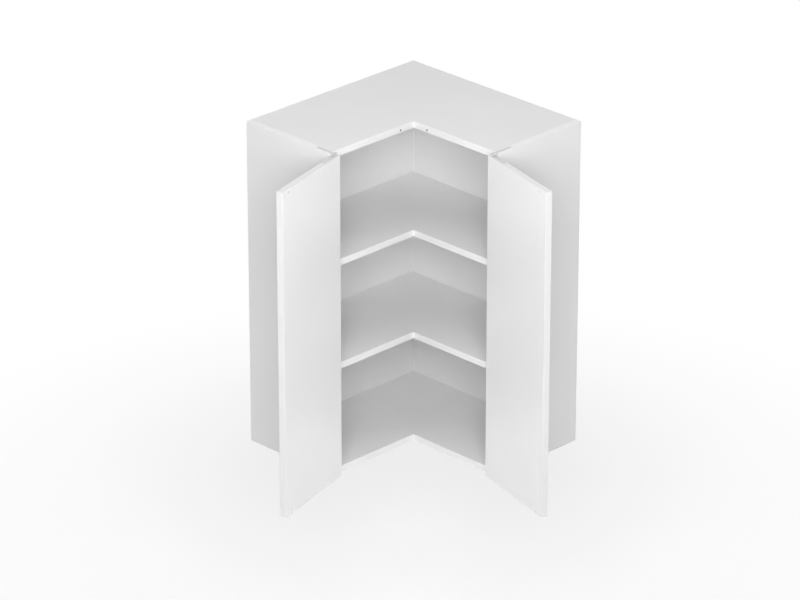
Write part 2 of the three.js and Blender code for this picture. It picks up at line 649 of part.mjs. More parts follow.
// Z-section steel plate on the wall. Its upstand carries the hook.
function wallPlate() {
  const step = HOOK_REST - PLATE_UPSTAND;
  const section = new THREE.Shape(
    [
      [0, step + PLATE_THICKNESS - PLATE_FLANGE],
      [PLATE_THICKNESS, step + PLATE_THICKNESS - PLATE_FLANGE],
      [PLATE_THICKNESS, step - PLATE_THICKNESS],
      [PLATE_STEP + PLATE_THICKNESS, step - PLATE_THICKNESS],
      [PLATE_STEP + PLATE_THICKNESS, HOOK_REST],
      [PLATE_STEP, HOOK_REST],
      [PLATE_STEP, step],
      [0, step],
    ].map(([v, z]) => new THREE.Vector2(v, z)),
  );
  const end = INNER_SIDE - PLATE_SIDE_GAP;
  const plate = new THREE.ExtrudeGeometry(section, { depth: PLATE_LENGTH, bevelEnabled: false });
  plate.rotateX(Math.PI / 2).rotateZ(-Math.PI / 2).translate(end, 0, 0);
  const middle = end - PLATE_LENGTH / 2;
  const screwZ = step + PLATE_THICKNESS - PLATE_FLANGE / 2 - PLATE_THICKNESS;
  const wall = [-OVERCUT, PLATE_THICKNESS + OVERCUT];
  const holes = [-PLATE_SCREW_SPACING / 2, PLATE_SCREW_SPACING / 2].map((offset) =>
    rodAlongV(PLATE_SCREW_RADIUS, wall, middle + offset, screwZ, SMALL_SIDES),
  );
  return cut(plate, holes);
}

// ---- Assembly ----------------------------------------------------------------------------------

const cabinet = new THREE.Group();

function add(name, geometry, material, parent = cabinet) {
  const mesh = new THREE.Mesh(geometry, material);
  mesh.name = name;
  parent.add(mesh);
  return mesh;
}

function addBothSides(name, geometry, material) {
  add(`right_${name}`, geometry, material);
  add(`left_${name}`, leftCopy(geometry), material);
}

function addCarcass() {
  addBothSides('side_panel', sidePanel(), melamine);
  add('top_panel', topPanel(), melamine);
  add('bottom_panel', bottomPanel(), melamine);
  add('right_back_panel', backPanel(BACK_INSET), backMelamine);
  add('left_back_panel', leftCopy(backPanel(BACK_FACE)), backMelamine);
  add('rear_corner_post', rearCornerPost(), postWood);
}

function addShelf(name, holeIndex) {
  add(name, shelf(holeIndex), melamine);
  const z = holeHeight(holeIndex);
  const inSide = shelfSupport(SIDE_PIN_LENGTH);
  const front = inSide.clone().translate(INNER_SIDE, -FRONT_ROW, z);
  const rear = inSide.clone().translate(INNER_SIDE, -REAR_ROW, z);
  const inBack = shelfSupport(BACK_PIN_LENGTH).rotateZ(Math.PI / 2);
  inBack.translate(BACK_HOLE_FROM_CORNER, -BACK_FACE, z);
  addBothSides(`${name}_support_front`, front, zincSteel);
  addBothSides(`${name}_support_rear`, rear, zincSteel);
  addBothSides(`${name}_support_corner`, inBack, zincSteel);
}

function addFixedHingePieces() {
  const pieces = [
    ['cabinet_leaf', cabinetLeaf(), zincSteel],
    ['hinge_pin', hingePin(), brightSteel],
    ['hinge_washer', hingeWasher(), whiteNylon],
  ];
  for (const [name, geometry, material] of pieces) {
    addBothSides(`upper_${name}`, geometry, material);
    addBothSides(`lower_${name}`, lowerCopy(geometry), material);
  }
}

// The door's pieces, moved so that the hinge axis is the group's own Z axis, then swung open.
function addDoor(side, toSide, [pivotX, pivotY], turn) {
  const swing = new THREE.Group();
  swing.position.set(pivotX, pivotY, 0);
  swing.rotation.z = THREE.MathUtils.degToRad(turn);
  cabinet.add(swing);
  const leaf = doorLeaf();
  const pieces = [
    ['door', door(), doorLacquer],
    ['upper_door_leaf', leaf, zincSteel],
    ['lower_door_leaf', lowerCopy(leaf), zincSteel],
    ['catch_strike', catchStrike(), whiteSteel],
    ['door_bumper', doorBumper(), clearRubber],
  ];
  for (const [name, geometry, material] of pieces) {
    const placed = toSide(geometry).clone().translate(-pivotX, -pivotY, 0);
    add(`${side}_${name}`, placed, material, swing);
  }
}

function addHangers() {
  addBothSides('hanger_housing', hangerHousing(), whiteNylon);
  addBothSides('hanger_hook', hangerHook(), zincSteel);
  addBothSides('hanger_height_screw', heightScrew(), brightSteel);
  addBothSides('hanger_depth_screw', depthScrew(), brightSteel);
  addBothSides('hanger_cover', hangerCover(), whiteNylon);
  addBothSides('wall_plate', wallPlate(), zincSteel);
}

addCarcass();
addShelf('lower_shelf', LOWER_SHELF_HOLE);
addShelf('upper_shelf', UPPER_SHELF_HOLE);
addFixedHingePieces();
addBothSides('catch_magnet', catchMagnet(), whiteNylon);
addDoor('right', (geometry) => geometry, [PIVOT_U, -PIVOT_V], OPEN_ANGLE);
addDoor('left', leftCopy, [PIVOT_V, -PIVOT_U], -OPEN_ANGLE);
addHangers();

export default cabinet;
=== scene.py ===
"""Visual model of the corner wall cabinet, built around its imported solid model.

Everything is in metres in the frame of the solids: +Z up, the origin in the wall corner under the
cabinet, the right wall at y = 0 and the left wall at x = 0. The cabinet is its own mirror image
across the plane x = -y, so handed pieces are placed for the right leg and mirrored for the left.
"""

import json
import math

import bmesh
import bpy
from bpy.props import FloatProperty, FloatVectorProperty, IntProperty, PointerProperty
from mathutils import Matrix, Vector


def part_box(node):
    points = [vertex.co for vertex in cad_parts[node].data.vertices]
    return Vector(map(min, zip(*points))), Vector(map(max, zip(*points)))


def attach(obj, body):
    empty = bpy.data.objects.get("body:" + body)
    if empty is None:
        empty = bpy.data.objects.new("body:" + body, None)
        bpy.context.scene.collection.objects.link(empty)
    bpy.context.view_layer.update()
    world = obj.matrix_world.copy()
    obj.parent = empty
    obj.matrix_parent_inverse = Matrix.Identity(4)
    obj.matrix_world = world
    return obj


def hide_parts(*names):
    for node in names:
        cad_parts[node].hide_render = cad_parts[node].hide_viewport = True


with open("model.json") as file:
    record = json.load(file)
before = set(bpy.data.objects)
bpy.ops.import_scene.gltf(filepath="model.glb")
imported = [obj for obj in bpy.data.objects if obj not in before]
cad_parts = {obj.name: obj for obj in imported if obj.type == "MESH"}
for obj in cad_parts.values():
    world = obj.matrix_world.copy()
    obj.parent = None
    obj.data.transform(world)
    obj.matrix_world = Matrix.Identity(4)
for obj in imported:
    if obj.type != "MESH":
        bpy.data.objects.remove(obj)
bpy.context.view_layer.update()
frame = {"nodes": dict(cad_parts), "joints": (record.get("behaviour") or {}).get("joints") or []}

bl_info = {
    "name": "Corner Wall Cabinet",
    "version": (1, 0, 0),
    "blender": (4, 5, 0),
    "location": "View3D > Sidebar > Cabinet",
    "description": "Dresses the solids of a corner wall cabinet with board edges, hardware and finishes",
    "category": "Object",
}

MM = 0.001
SIDES = ("right", "left")
ENDS = ("upper", "lower")
SHELVES = ("lower_shelf", "upper_shelf")
CABINET = "cabinet"

# ---- Places read from the frame ----------------------------------------------------------------

SIDE_LOW, SIDE_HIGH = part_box("right_side_panel")
DEPTH = -SIDE_LOW.y
HEIGHT = SIDE_HIGH.z
LEG = SIDE_HIGH.x
INNER_SIDE = SIDE_LOW.x

DOOR_JOINT = next(joint for joint in frame["joints"] if joint["child"] == "right_door")
PIVOT = Vector(DOOR_JOINT["pos_m"])
OPEN_ANGLE = -math.radians(min(DOOR_JOINT["range_deg"]))

# The cabinet's mirror plane swaps x and -y.
MIRROR = Matrix(((0, -1, 0, 0), (-1, 0, 0, 0), (0, 0, 1, 0), (0, 0, 0, 1)))
UPSIDE_DOWN = Matrix(((1, 0, 0, 0), (0, 1, 0, 0), (0, 0, -1, HEIGHT), (0, 0, 0, 1)))
SWING = (
    Matrix.Translation(PIVOT) @ Matrix.Rotation(OPEN_ANGLE, 4, "Z") @ Matrix.Translation(-PIVOT)
)

UP = Vector((0, 0, 1))
TO_ROOM = Vector((0, -1, 0))  # away from the right wall
TO_WALL = Vector((0, 1, 0))
TO_CORNER = Vector((-1, 0, 0))  # along the right wall


def placing(side, end="upper", on_door=False):
    """The matrix that takes a piece shaped for the closed upper right hinge to its own place."""
    matrix = UPSIDE_DOWN if end == "lower" else Matrix.Identity(4)
    if on_door:
        matrix = SWING @ matrix
    if side == "left":
        matrix = MIRROR @ matrix
    return matrix


def middle_of(node):
    low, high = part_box(node)
    return (low + high) / 2


def closed_box(node):
    """The box of a right door's node with the door swung closed."""
    closed = SWING.inverted()
    places = [closed @ vertex.co for vertex in frame["nodes"][node].data.vertices]
    low = Vector([min(place[axis] for place in places) for axis in range(3)])
    high = Vector([max(place[axis] for place in places) for axis in range(3)])
    return low, high


# ---- Sizes and colours that a user would change ------------------------------------------------


def length(name, description, size):
    return FloatProperty(name=name, description=description, default=size, unit="LENGTH")


def power(name, description, watts):
    return FloatProperty(name=name, description=description, default=watts, unit="POWER")


def colour(name, description, red, green, blue):
    return FloatVectorProperty(
        name=name, description=description, subtype="COLOR", default=(red, green, blue)
    )


class CabinetBoards(bpy.types.PropertyGroup):
    band_radius: length("Edge Band Radius", "Rounding of the banded board edges", 0.8 * MM)
    raw_chamfer: length("Raw Edge Chamfer", "Broken corner of sawn board edges", 0.25 * MM)
    face_colour: colour("Face Colour", "Light grey melamine", 0.865, 0.865, 0.865)
    band_colour: colour("Band Colour", "Edge band of the shelves, top and bottom", 0.895, 0.895, 0.895)
    side_band_colour: colour("Side Band Colour", "White edge band of the side panels", 0.93, 0.93, 0.93)


class CabinetDoors(bpy.types.PropertyGroup):
    edge_radius: length("Edge Radius", "Rounding of the lacquered door edges", 1.2 * MM)
    lacquer_colour: colour("Lacquer Colour", "White satin lacquer", 0.9, 0.9, 0.9)
    # Painted shade: the door edges get a darker white than the faces, so that edges facing the lamps
    # don't render brighter than the faces.
    edge_painted_shade_colour: colour("Edge Colour", "White edge band of the doors", 0.84, 0.84, 0.84)


class CabinetHardware(bpy.types.PropertyGroup):
    stamped_radius: length("Stamped Edge Radius", "Rounding of stamped steel edges", 0.2 * MM)
    moulded_radius: length("Moulded Edge Radius", "Rounding of moulded plastic edges", 0.6 * MM)
    bend_radius: length("Bend Radius", "Outer radius where steel strip is bent", 1.6 * MM)
    screw_head_radius: length("Screw Head Radius", "Countersunk wood screws", 3.05 * MM)
    screw_sink: length("Screw Sink", "Depth of a screw head below its seat's face", 0.12 * MM)
    thread_pitch: length("Thread Pitch", "Rise of the adjusting screws' thread", 0.8 * MM)
    spin_seed: IntProperty(name="Spin Seed", description="How far each screw was turned", default=7)


class CabinetStage(bpy.types.PropertyGroup):
    floor_drop: length("Floor Drop", "Floor below the cabinet's underside", 0.5)
    surround: FloatProperty(
        name="Surround Light", description="Strength of the even light all round", default=0.29
    )
    front_light: power("Front Light", "Power of the front softbox", 54.5)
    inner_light: power("Inner Light", "Power of the lower softbox that reaches the shelves", 18.8)
    top_light: power("Top Light", "Power of the overhead softbox", 28.0)
    rear_light: power("Rear Light", "Power of each of the two softboxes behind", 75.0)


# ---- Node helpers ------------------------------------------------------------------------------


class NodeSheet:
    """Adds nodes to a tree. An input is given a plain value or another node's output."""

    def __init__(self, tree):
        self.tree = tree

    def add(self, kind, inputs=None, **settings):
        node = self.tree.nodes.new(kind)
        for name, value in settings.items():
            setattr(node, name, value)
        for name, value in (inputs or {}).items():
            for single in value if isinstance(value, list) else [value]:
                if isinstance(single, bpy.types.NodeSocket):
                    self.tree.links.new(single, node.inputs[name])
                else:
                    node.inputs[name].default_value = single
        return node

    def math(self, operation, *values):
        return self.add("ShaderNodeMath", dict(enumerate(values)), operation=operation).outputs[0]

    def blend(self, factor, first, second):
        """Mixes two colours."""
        inputs = {"Factor_Float": factor, "A_Color": first, "B_Color": second}
        node = self.add("ShaderNodeMix", data_type="RGBA")
        for socket in node.inputs:
            if socket.identifier in inputs:
                self.tree.links.new(inputs[socket.identifier], socket)
        return next(socket for socket in node.outputs if socket.identifier == "Result_Color")

    def place(self):
        return self.add("ShaderNodeTexCoord").outputs["Object"]

    def stretched_place(self, stretch):
        """Object coordinates with each axis scaled, for grain and brushing that runs one way."""
        inputs = {0: self.place(), 1: stretch}
        return self.add("ShaderNodeVectorMath", inputs, operation="MULTIPLY").outputs[0]

    def noise(self, place, scale, detail, **more):
        inputs = {"Vector": place, "Scale": scale, "Detail": detail, **more}
        return self.add("ShaderNodeTexNoise", inputs).outputs[0]

    def ramp(self, value, low, high, **settings):
        """Rises from 0 at the low value to 1 at the high one."""
        inputs = {"Value": value, "From Min": low, "From Max": high}
        return self.add("ShaderNodeMapRange", inputs, **settings).outputs[0]

    def around(self, middle, spread, noise):
        """A value that wanders round its middle, as the noise wanders round a half."""
        return self.math("MULTIPLY_ADD", self.math("SUBTRACT", noise, 0.5), spread, middle)

    def bump(self, height, strength, depth):
        inputs = {"Strength": strength, "Distance": depth, "Height": height}
        return self.add("ShaderNodeBump", inputs).outputs[0]

    def put_out(self, result, **values):
        """Joins values to the group's outputs and gives back the finished group."""
        for name, value in values.items():
            self.tree.links.new(value, result[name])
        return self.tree


FLOAT = "NodeSocketFloat"
COLOUR = "NodeSocketColor"
VECTOR = "NodeSocketVector"
WHOLE = "NodeSocketInt"
SHAPE = "NodeSocketGeometry"
FINISH = "NodeSocketMaterial"


def new_tree(name, kind, inputs, outputs):
    """A node group with its sockets. Each input is (name, socket type, default)."""
    tree = bpy.data.node_groups.new(name, kind)
    for socket_name, socket_type, default in inputs:
        socket = tree.interface.new_socket(socket_name, in_out="INPUT", socket_type=socket_type)
        if default is not None:
            socket.default_value = default
    for socket_name, socket_type in outputs:
        tree.interface.new_socket(socket_name, in_out="OUTPUT", socket_type=socket_type)
    sheet = NodeSheet(tree)
    start = sheet.add("NodeGroupInput").outputs
    end = sheet.add("NodeGroupOutput").inputs
    return sheet, start, end


# ---- Shader groups -----------------------------------------------------------------------------


def pebbled_surface():
    """The fine pebbled press texture of melamine, or the orange peel of lacquer at a larger scale."""
    sheet, given, result = new_tree(
        "Pebbled Surface", "ShaderNodeTree",
        [("Scale", FLOAT, 900.0), ("Strength", FLOAT, 0.2), ("Depth", FLOAT, 0.1 * MM)],
        [("Normal", VECTOR)],
    )
    place = sheet.place()
    pebbles = sheet.add(
        "ShaderNodeTexVoronoi", {"Vector": place, "Scale": given["Scale"]}, feature="SMOOTH_F1"
    )
    waves = sheet.noise(place, sheet.math("MULTIPLY", given["Scale"], 0.35), 2.0)
    height = sheet.math("ADD", pebbles.outputs["Distance"], waves)
    return sheet.put_out(result, Normal=sheet.bump(height, given["Strength"], given["Depth"]))


def shade_drift():
    """Slight drift of colour and gloss over a surface, as every real finish has."""
    sheet, given, result = new_tree(
        "Shade Drift", "ShaderNodeTree",
        [
            ("Colour", COLOUR, (1, 1, 1, 1)),
            ("Second Colour", COLOUR, (1, 1, 1, 1)),
            ("Scale", FLOAT, 6.0),
            ("Roughness", FLOAT, 0.5),
            ("Roughness Spread", FLOAT, 0.05),
        ],
        [("Colour", COLOUR), ("Roughness", FLOAT)],
    )
    place = sheet.place()
    clouds = sheet.ramp(sheet.noise(place, given["Scale"], 4.0), 0.3, 0.7)
    smears = sheet.noise(place, 23.0, 3.0, Distortion=0.6)
    return sheet.put_out(
        result,
        Colour=sheet.blend(clouds, given["Colour"], given["Second Colour"]),
        Roughness=sheet.around(given["Roughness"], given["Roughness Spread"], smears),
    )


def wood_chips():
    """Pressed chips or fibres in a sawn board edge."""
    sheet, given, result = new_tree(
        "Wood Chips", "ShaderNodeTree",
        [
            ("Light", COLOUR, (0.72, 0.56, 0.38, 1)),
            ("Dark", COLOUR, (0.38, 0.25, 0.14, 1)),
            ("Scale", FLOAT, 330.0),
            ("Stretch", VECTOR, (1.0, 1.0, 1.0)),
        ],
        [("Colour", COLOUR), ("Normal", VECTOR)],
    )
    place = sheet.stretched_place(given["Stretch"])
    finer = sheet.math("MULTIPLY", given["Scale"], 3.3)
    chips, flakes = (
        sheet.add("ShaderNodeTexVoronoi", {"Vector": place, "Scale": scale}).outputs
        for scale in (given["Scale"], finer)
    )
    coarse, fine = (
        sheet.add("ShaderNodeRGBToBW", {"Color": cells["Color"]}).outputs[0] for cells in (chips, flakes)
    )
    shade = sheet.math("MULTIPLY_ADD", coarse, 0.5, sheet.math("MULTIPLY", fine, 0.5))
    mixed = sheet.blend(sheet.ramp(shade, 0.2, 0.62), given["Dark"], given["Light"])
    height = sheet.math("ADD", chips["Distance"], flakes["Distance"])
    return sheet.put_out(result, Colour=mixed, Normal=sheet.bump(height, 0.6, 0.2 * MM))


def drawn_lines():
    """Fine lines of rolled, drawn or turned steel. The stretch is large across the lines."""
    sheet, given, result = new_tree(
        "Drawn Lines", "ShaderNodeTree",
        [
            ("Stretch", VECTOR, (200.0, 200.0, 4000.0)),
            ("Roughness", FLOAT, 0.3),
            ("Roughness Spread", FLOAT, 0.2),
            ("Strength", FLOAT, 0.15),
        ],
        [("Roughness", FLOAT), ("Normal", VECTOR)],
    )
    lines = sheet.noise(sheet.stretched_place(given["Stretch"]), 1.0, 3.0)
    return sheet.put_out(
        result,
        Roughness=sheet.around(given["Roughness"], given["Roughness Spread"], lines),
        Normal=sheet.bump(lines, given["Strength"], 0.05 * MM),
    )


def softwood_grain():
    """Sawn softwood grain that runs up the piece."""
    sheet, given, result = new_tree(
        "Softwood Grain", "ShaderNodeTree",
        [("Early Wood", COLOUR, (0.68, 0.5, 0.3, 1)), ("Late Wood", COLOUR, (0.47, 0.29, 0.14, 1))],
        [("Colour", COLOUR), ("Normal", VECTOR)],
    )
    along = sheet.stretched_place((1.0, 1.0, 0.045))
    rings = sheet.add(
        "ShaderNodeTexWave", {"Vector": along, "Scale": 60.0, "Distortion": 9.0, "Detail": 3.0},
        wave_type="RINGS", rings_direction="Z",
    )
    fibres = sheet.noise(along, 900.0, 3.0)
    grain = sheet.math("MULTIPLY_ADD", fibres, 0.35, sheet.math("MULTIPLY", rings.outputs["Fac"], 0.7))
    mixed = sheet.blend(grain, given["Early Wood"], given["Late Wood"])
    return sheet.put_out(result, Colour=mixed, Normal=sheet.bump(grain, 0.5, 0.15 * MM))


# ---- Finishes ----------------------------------------------------------------------------------


class Workshop:
    """Makes each material and node group once, when it is first asked for."""

    def __init__(self):
        self.made = {}

    def get(self, maker):
        if maker not in self.made:
            self.made[maker] = maker()
        return self.made[maker]


workshop = Workshop()


def darker(shade, factor):
    return tuple(channel * factor for channel in shade)


def empty_sheet(owner):
    """The node sheet of a new material or world, without the nodes that it starts with."""
    owner.use_nodes = True
    owner.node_tree.nodes.clear()
    return NodeSheet(owner.node_tree)


def new_finish(name, **constants):
    """A material with a Principled shader whose plain sockets are set to constants."""
    material = bpy.data.materials.new(name)
    sheet = empty_sheet(material)
    plain = {key.replace("_", " "): value for key, value in constants.items()}
    shader = sheet.add("ShaderNodeBsdfPrincipled", plain)
    sheet.add("ShaderNodeOutputMaterial", {"Surface": shader.outputs[0]})
    return material, sheet, shader


def place_group(sheet, shader, maker, takes, **values):
    """Puts a shared group in a material, sets its inputs and joins its outputs to the shader."""
    node = sheet.add("ShaderNodeGroup", node_tree=workshop.get(maker))
    for name, value in values.items():
        socket = node.inputs[name.replace("_", " ")]
        socket.default_value = (*value, 1.0) if socket.type == "RGBA" else value
    for output, socket in takes.items():
        sheet.tree.links.new(node.outputs[output], shader.inputs[socket])


def coated(name, shade, second, roughness, spread, pebbles, strength, depth, **constants):
    """A painted, pressed or moulded surface: drifting shade over a fine pebbled texture."""
    material, sheet, shader = new_finish(name, **constants)
    place_group(
        sheet, shader, shade_drift, {"Colour": "Base Color", "Roughness": "Roughness"},
        Colour=shade, Second_Colour=second, Roughness=roughness, Roughness_Spread=spread,
    )
    place_group(sheet, shader, pebbled_surface, {"Normal": "Normal"},
                Scale=pebbles, Strength=strength, Depth=depth)
    return material


def steel(name, shade, second, roughness, spread, stretch, strength):
    """Bare or plated steel with fine drawn lines."""
    material, sheet, shader = new_finish(name, Metallic=1.0)
    place_group(sheet, shader, shade_drift, {"Colour": "Base Color"},
                Colour=shade, Second_Colour=second, Scale=60.0)
    place_group(sheet, shader, drawn_lines, {"Roughness": "Roughness", "Normal": "Normal"},
                Stretch=stretch, Roughness=roughness, Roughness_Spread=spread, Strength=strength)
    return material


def melamine(name, fade, **press):
    shade = tuple(bpy.context.scene.cabinet_boards.face_colour)
    return coated(name, shade, darker(shade, fade), spread=0.12, **press)


def melamine_face():
    return melamine("melamine_face", 0.975, roughness=0.52, pebbles=1100.0, strength=0.22,
                    depth=0.06 * MM)


def back_melamine():
    return melamine("back_melamine", 0.97, roughness=0.56, pebbles=1300.0, strength=0.2,
                    depth=0.05 * MM)


def band(name, setting, roughness=0.42):
    """The smooth plastic of an edge band."""
    shade = tuple(setting)
    return coated(name, shade, darker(shade, 0.985), roughness=roughness, spread=0.1,
                  pebbles=1500.0, strength=0.12, depth=0.04 * MM)


def edge_band():
    return band("edge_band", bpy.context.scene.cabinet_boards.band_colour)


def side_band():
    return band("side_band", bpy.context.scene.cabinet_boards.side_band_colour)


# Painted shade: a darker white on the door edges stands in for shade, to hold back the extra light that
# falls on them.
def door_edge_painted_shade():
    return band("door_edge_painted_shade", bpy.context.scene.cabinet_doors.edge_painted_shade_colour, roughness=0.38)


def door_lacquer():
    shade = tuple(bpy.context.scene.cabinet_doors.lacquer_colour)
    return coated("door_lacquer", shade, darker(shade, 0.985), roughness=0.32, spread=0.08,
                  pebbles=420.0, strength=0.1, depth=0.05 * MM, Coat_Weight=0.2, Coat_Roughness=0.2)


def chipboard(name, stretch):
    material, sheet, shader = new_finish(name, Roughness=0.85)
    place_group(sheet, shader, wood_chips, {"Colour": "Base Color", "Normal": "Normal"}, Stretch=stretch)
    return material


def upright_chipboard():
    """The chips lie flat in the board, so they are thin across its thickness."""
    return chipboard("upright_chipboard", (2.4, 2.4, 1.0))


def level_chipboard():
    return chipboard("level_chipboard", (1.0, 1.0, 2.4))


def fibreboard_core():
    material, sheet, shader = new_finish("fibreboard_core", Roughness=0.8)
    place_group(sheet, shader, wood_chips, {"Colour": "Base Color", "Normal": "Normal"},
                Light=(0.56, 0.41, 0.26), Dark=(0.43, 0.3, 0.18), Scale=2200.0)
    return material


def sawn_softwood():
    material, sheet, shader = new_finish("sawn_softwood", Roughness=0.75)
    place_group(sheet, shader, softwood_grain, {"Colour": "Base Color", "Normal": "Normal"})
    return material


def zinc_plate():
    return steel("zinc_plate", (0.78, 0.79, 0.81), (0.7, 0.72, 0.76), roughness=0.36, spread=0.25,
                 stretch=(900.0, 900.0, 260.0), strength=0.12)


def satin_nickel():
    return steel("satin_nickel", (0.82, 0.81, 0.79), (0.74, 0.73, 0.71), roughness=0.32, spread=0.22,
                 stretch=(700.0, 700.0, 90.0), strength=0.12)


def turned_steel():
    return steel("turned_steel", (0.8, 0.8, 0.81), (0.72, 0.72, 0.74), roughness=0.22, spread=0.15,
                 stretch=(150.0, 150.0, 3000.0), strength=0.1)


def white_nylon():
    return coated("white_nylon", (0.86, 0.86, 0.84), (0.82, 0.82, 0.8), roughness=0.45, spread=0.15,
                  pebbles=800.0, strength=0.15, depth=0.05 * MM)


def white_enamel():
    return coated("white_enamel", (0.88, 0.88, 0.88), (0.85, 0.85, 0.85), roughness=0.4, spread=0.1,
                  pebbles=2400.0, strength=0.3, depth=0.04 * MM)


def clear_rubber():
    return coated("clear_rubber", (0.86, 0.88, 0.89), (0.8, 0.83, 0.85), roughness=0.22, spread=0.08,
                  pebbles=300.0, strength=0.05, depth=0.03 * MM, Coat_Weight=0.3, Coat_Roughness=0.1)


# ---- Mesh helpers ------------------------------------------------------------------------------

JOIN_DISTANCE = 0.004 * MM
ON_PLANE = 0.01 * MM
SHARP_ANGLE = math.radians(35)
FLAT_ANGLE = math.radians(0.5)


def whole_shape(node):
    """A copy of a solid's mesh, joined up."""
    source = frame["nodes"][node].data
    shape = bmesh.new()
    corners = [shape.verts.new(vertex.co) for vertex in source.vertices]
    for polygon in source.polygons:
        shape.faces.new([corners[index] for index in polygon.vertices])
    return joined_up(shape)


def joined_up(shape):
    """Merges the corners that meet and makes each flat face one piece."""
    bmesh.ops.remove_doubles(shape, verts=shape.verts, dist=JOIN_DISTANCE)
    bmesh.ops.dissolve_limit(shape, angle_limit=FLAT_ANGLE, verts=shape.verts, edges=shape.edges)
    return shape


def is_crease(edge):
    return len(edge.link_faces) == 2 and edge.calc_face_angle(0.0) > SHARP_ANGLE


def round_edges(shape, edges, radius, segments):
    if edges:
        bmesh.ops.bevel(
            shape, geom=edges, offset=radius, segments=segments, profile=0.5, affect="EDGES",
            clamp_overlap=True,
        )
        bmesh.ops.dissolve_degenerate(shape, dist=JOIN_DISTANCE, edges=shape.edges)
    shape.normal_update()


def round_creases(shape, radius, segments=2, least=0.0):
    """Rounds the creases that are longer than the least length."""
    creases = [edge for edge in shape.edges if is_crease(edge) and edge.calc_length() > least]
    round_edges(shape, creases, radius, segments)


def placed_shape(shape, matrix):
    """The shape moved to its place, with its faces still outwards if the matrix mirrors it."""
    shape.transform(matrix)
    if matrix.determinant() < 0:
        bmesh.ops.reverse_faces(shape, faces=shape.faces)
    shape.normal_update()
    return shape


def linked(name, data):
    """A new object of the scene that holds the data."""
    thing = bpy.data.objects.new(name, data)
    bpy.context.scene.collection.objects.link(thing)
    return thing


def mesh_from(shape, name):
    """A mesh that takes over the shape."""
    mesh = bpy.data.meshes.new(name)
    shape.to_mesh(mesh)
    shape.free()
    return mesh


def joined_meshes(name, parts):
    """One mesh in place of several that share their finish."""
    whole = bmesh.new()
    for part in parts:
        whole.from_mesh(part)
    mesh = mesh_from(whole, name)
    for material in parts[0].materials:
        mesh.materials.append(material)
    for part in parts:
        bpy.data.meshes.remove(part)
    return mesh


def piece_from(shape, name, makers):
    mesh = mesh_from(shape, name)
    for maker in makers:
        mesh.materials.append(workshop.get(maker))
    return finished_piece(mesh, name)


def finished_piece(mesh, name):
    """An object that shows the mesh with smooth faces and sharp creases."""
    for polygon in mesh.polygons:
        polygon.use_smooth = True
    mesh.set_sharp_from_angle(angle=SHARP_ANGLE)
    piece = linked(name, mesh)
    even = piece.modifiers.new("flat_faces_even", "WEIGHTED_NORMAL")
    even.keep_sharp = True
    return piece


def settle(piece, body, slot_name, *nodes):
    """The piece moves with a body and stands for its solids. Its slot name is not used."""
    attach(piece, body)
    if nodes:
        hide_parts(*nodes)


def dress(node, shape, makers, body, slot_name):
    """The shape becomes the visible piece of its one solid."""
    settle(piece_from(shape, node + "_dressed", makers), body, slot_name, node)


# ---- Repeated pieces, made with geometry nodes -------------------------------------------------


class Seat:
    """Where a repeated piece sits: its place, the way it faces and the way its length runs."""

    def __init__(self, place, facing, along=(1, 0, 0), matrix=None):
        turn = matrix or Matrix.Identity(4)
        self.place = turn @ Vector(place)
        self.facing = turn.to_3x3() @ Vector(facing)
        self.along = turn.to_3x3() @ Vector(along)


def input_key(tree, name):
    """The identifier of a tree's input socket, which is what a modifier's value is set by."""
    for item in tree.interface.items_tree:
        if item.item_type == "SOCKET" and item.in_out == "INPUT" and item.name == name:
            return item.identifier
    raise KeyError(name)


def repeated_mesh(name, maker, seats, material, **values):
    """One plain mesh with the tree's piece on every seat."""
    tree = workshop.get(maker)
    points = bpy.data.meshes.new(name + "_seats")
    points.from_pydata([seat.place for seat in seats], [], [])
    for attribute in ("facing", "along"):
        layer = points.attributes.new(attribute, "FLOAT_VECTOR", "POINT")
        layer.data.foreach_set("vector", [n for seat in seats for n in getattr(seat, attribute)])
    carrier = linked(name + "_carrier", points)
    modifier = carrier.modifiers.new(name, "NODES")
    modifier.node_group = tree
    modifier[input_key(tree, "Finish")] = workshop.get(material)
    for key, value in values.items():
        modifier[input_key(tree, key.replace("_", " "))] = value
    graph = bpy.context.evaluated_depsgraph_get()
    mesh = bpy.data.meshes.new_from_object(carrier.evaluated_get(graph), depsgraph=graph)
    mesh.name = name
    carrier.modifiers.remove(modifier)
    bpy.data.objects.remove(carrier)
    bpy.data.meshes.remove(points)
    for attribute in ("facing", "along"):
        if attribute in mesh.attributes:
            mesh.attributes.remove(mesh.attributes[attribute])
    return mesh


def softened(mesh, radius):
    """Rounds the creases of a repeated mesh."""
    shape = bmesh.new()
    shape.from_mesh(mesh)
    round_creases(joined_up(shape), radius)
    shape.to_mesh(mesh)
    shape.free()
    return mesh


def rod(sheet, radius, thickness, middle, sides=40, turn=(0, 0, 0)):
    """A cylinder inside a geometry tree. Sizes may be sockets or plain numbers."""
    body = sheet.add(
        "GeometryNodeMeshCylinder", {"Vertices": sides, "Radius": radius, "Depth": thickness}
    )
    return moved(sheet, body.outputs["Mesh"], middle, turn)


def moved(sheet, body, place, turn=(0, 0, 0)):
    return sheet.add(
        "GeometryNodeTransform", {"Geometry": body, "Translation": place, "Rotation": turn}
    ).outputs[0]


def point(sheet, x=0.0, y=0.0, z=0.0):
    return sheet.add("ShaderNodeCombineXYZ", {0: x, 1: y, 2: z}).outputs[0]


def cone(sheet, lower_radius, upper_radius, lower, upper, sides=40):
    """A truncated cone along Z between two heights."""
    height = sheet.math("SUBTRACT", upper, lower)
    body = sheet.add(
        "GeometryNodeMeshCone",
        {"Vertices": sides, "Radius Top": upper_radius, "Radius Bottom": lower_radius, "Depth": height},
    )
    return moved(sheet, body.outputs["Mesh"], point(sheet, z=lower))


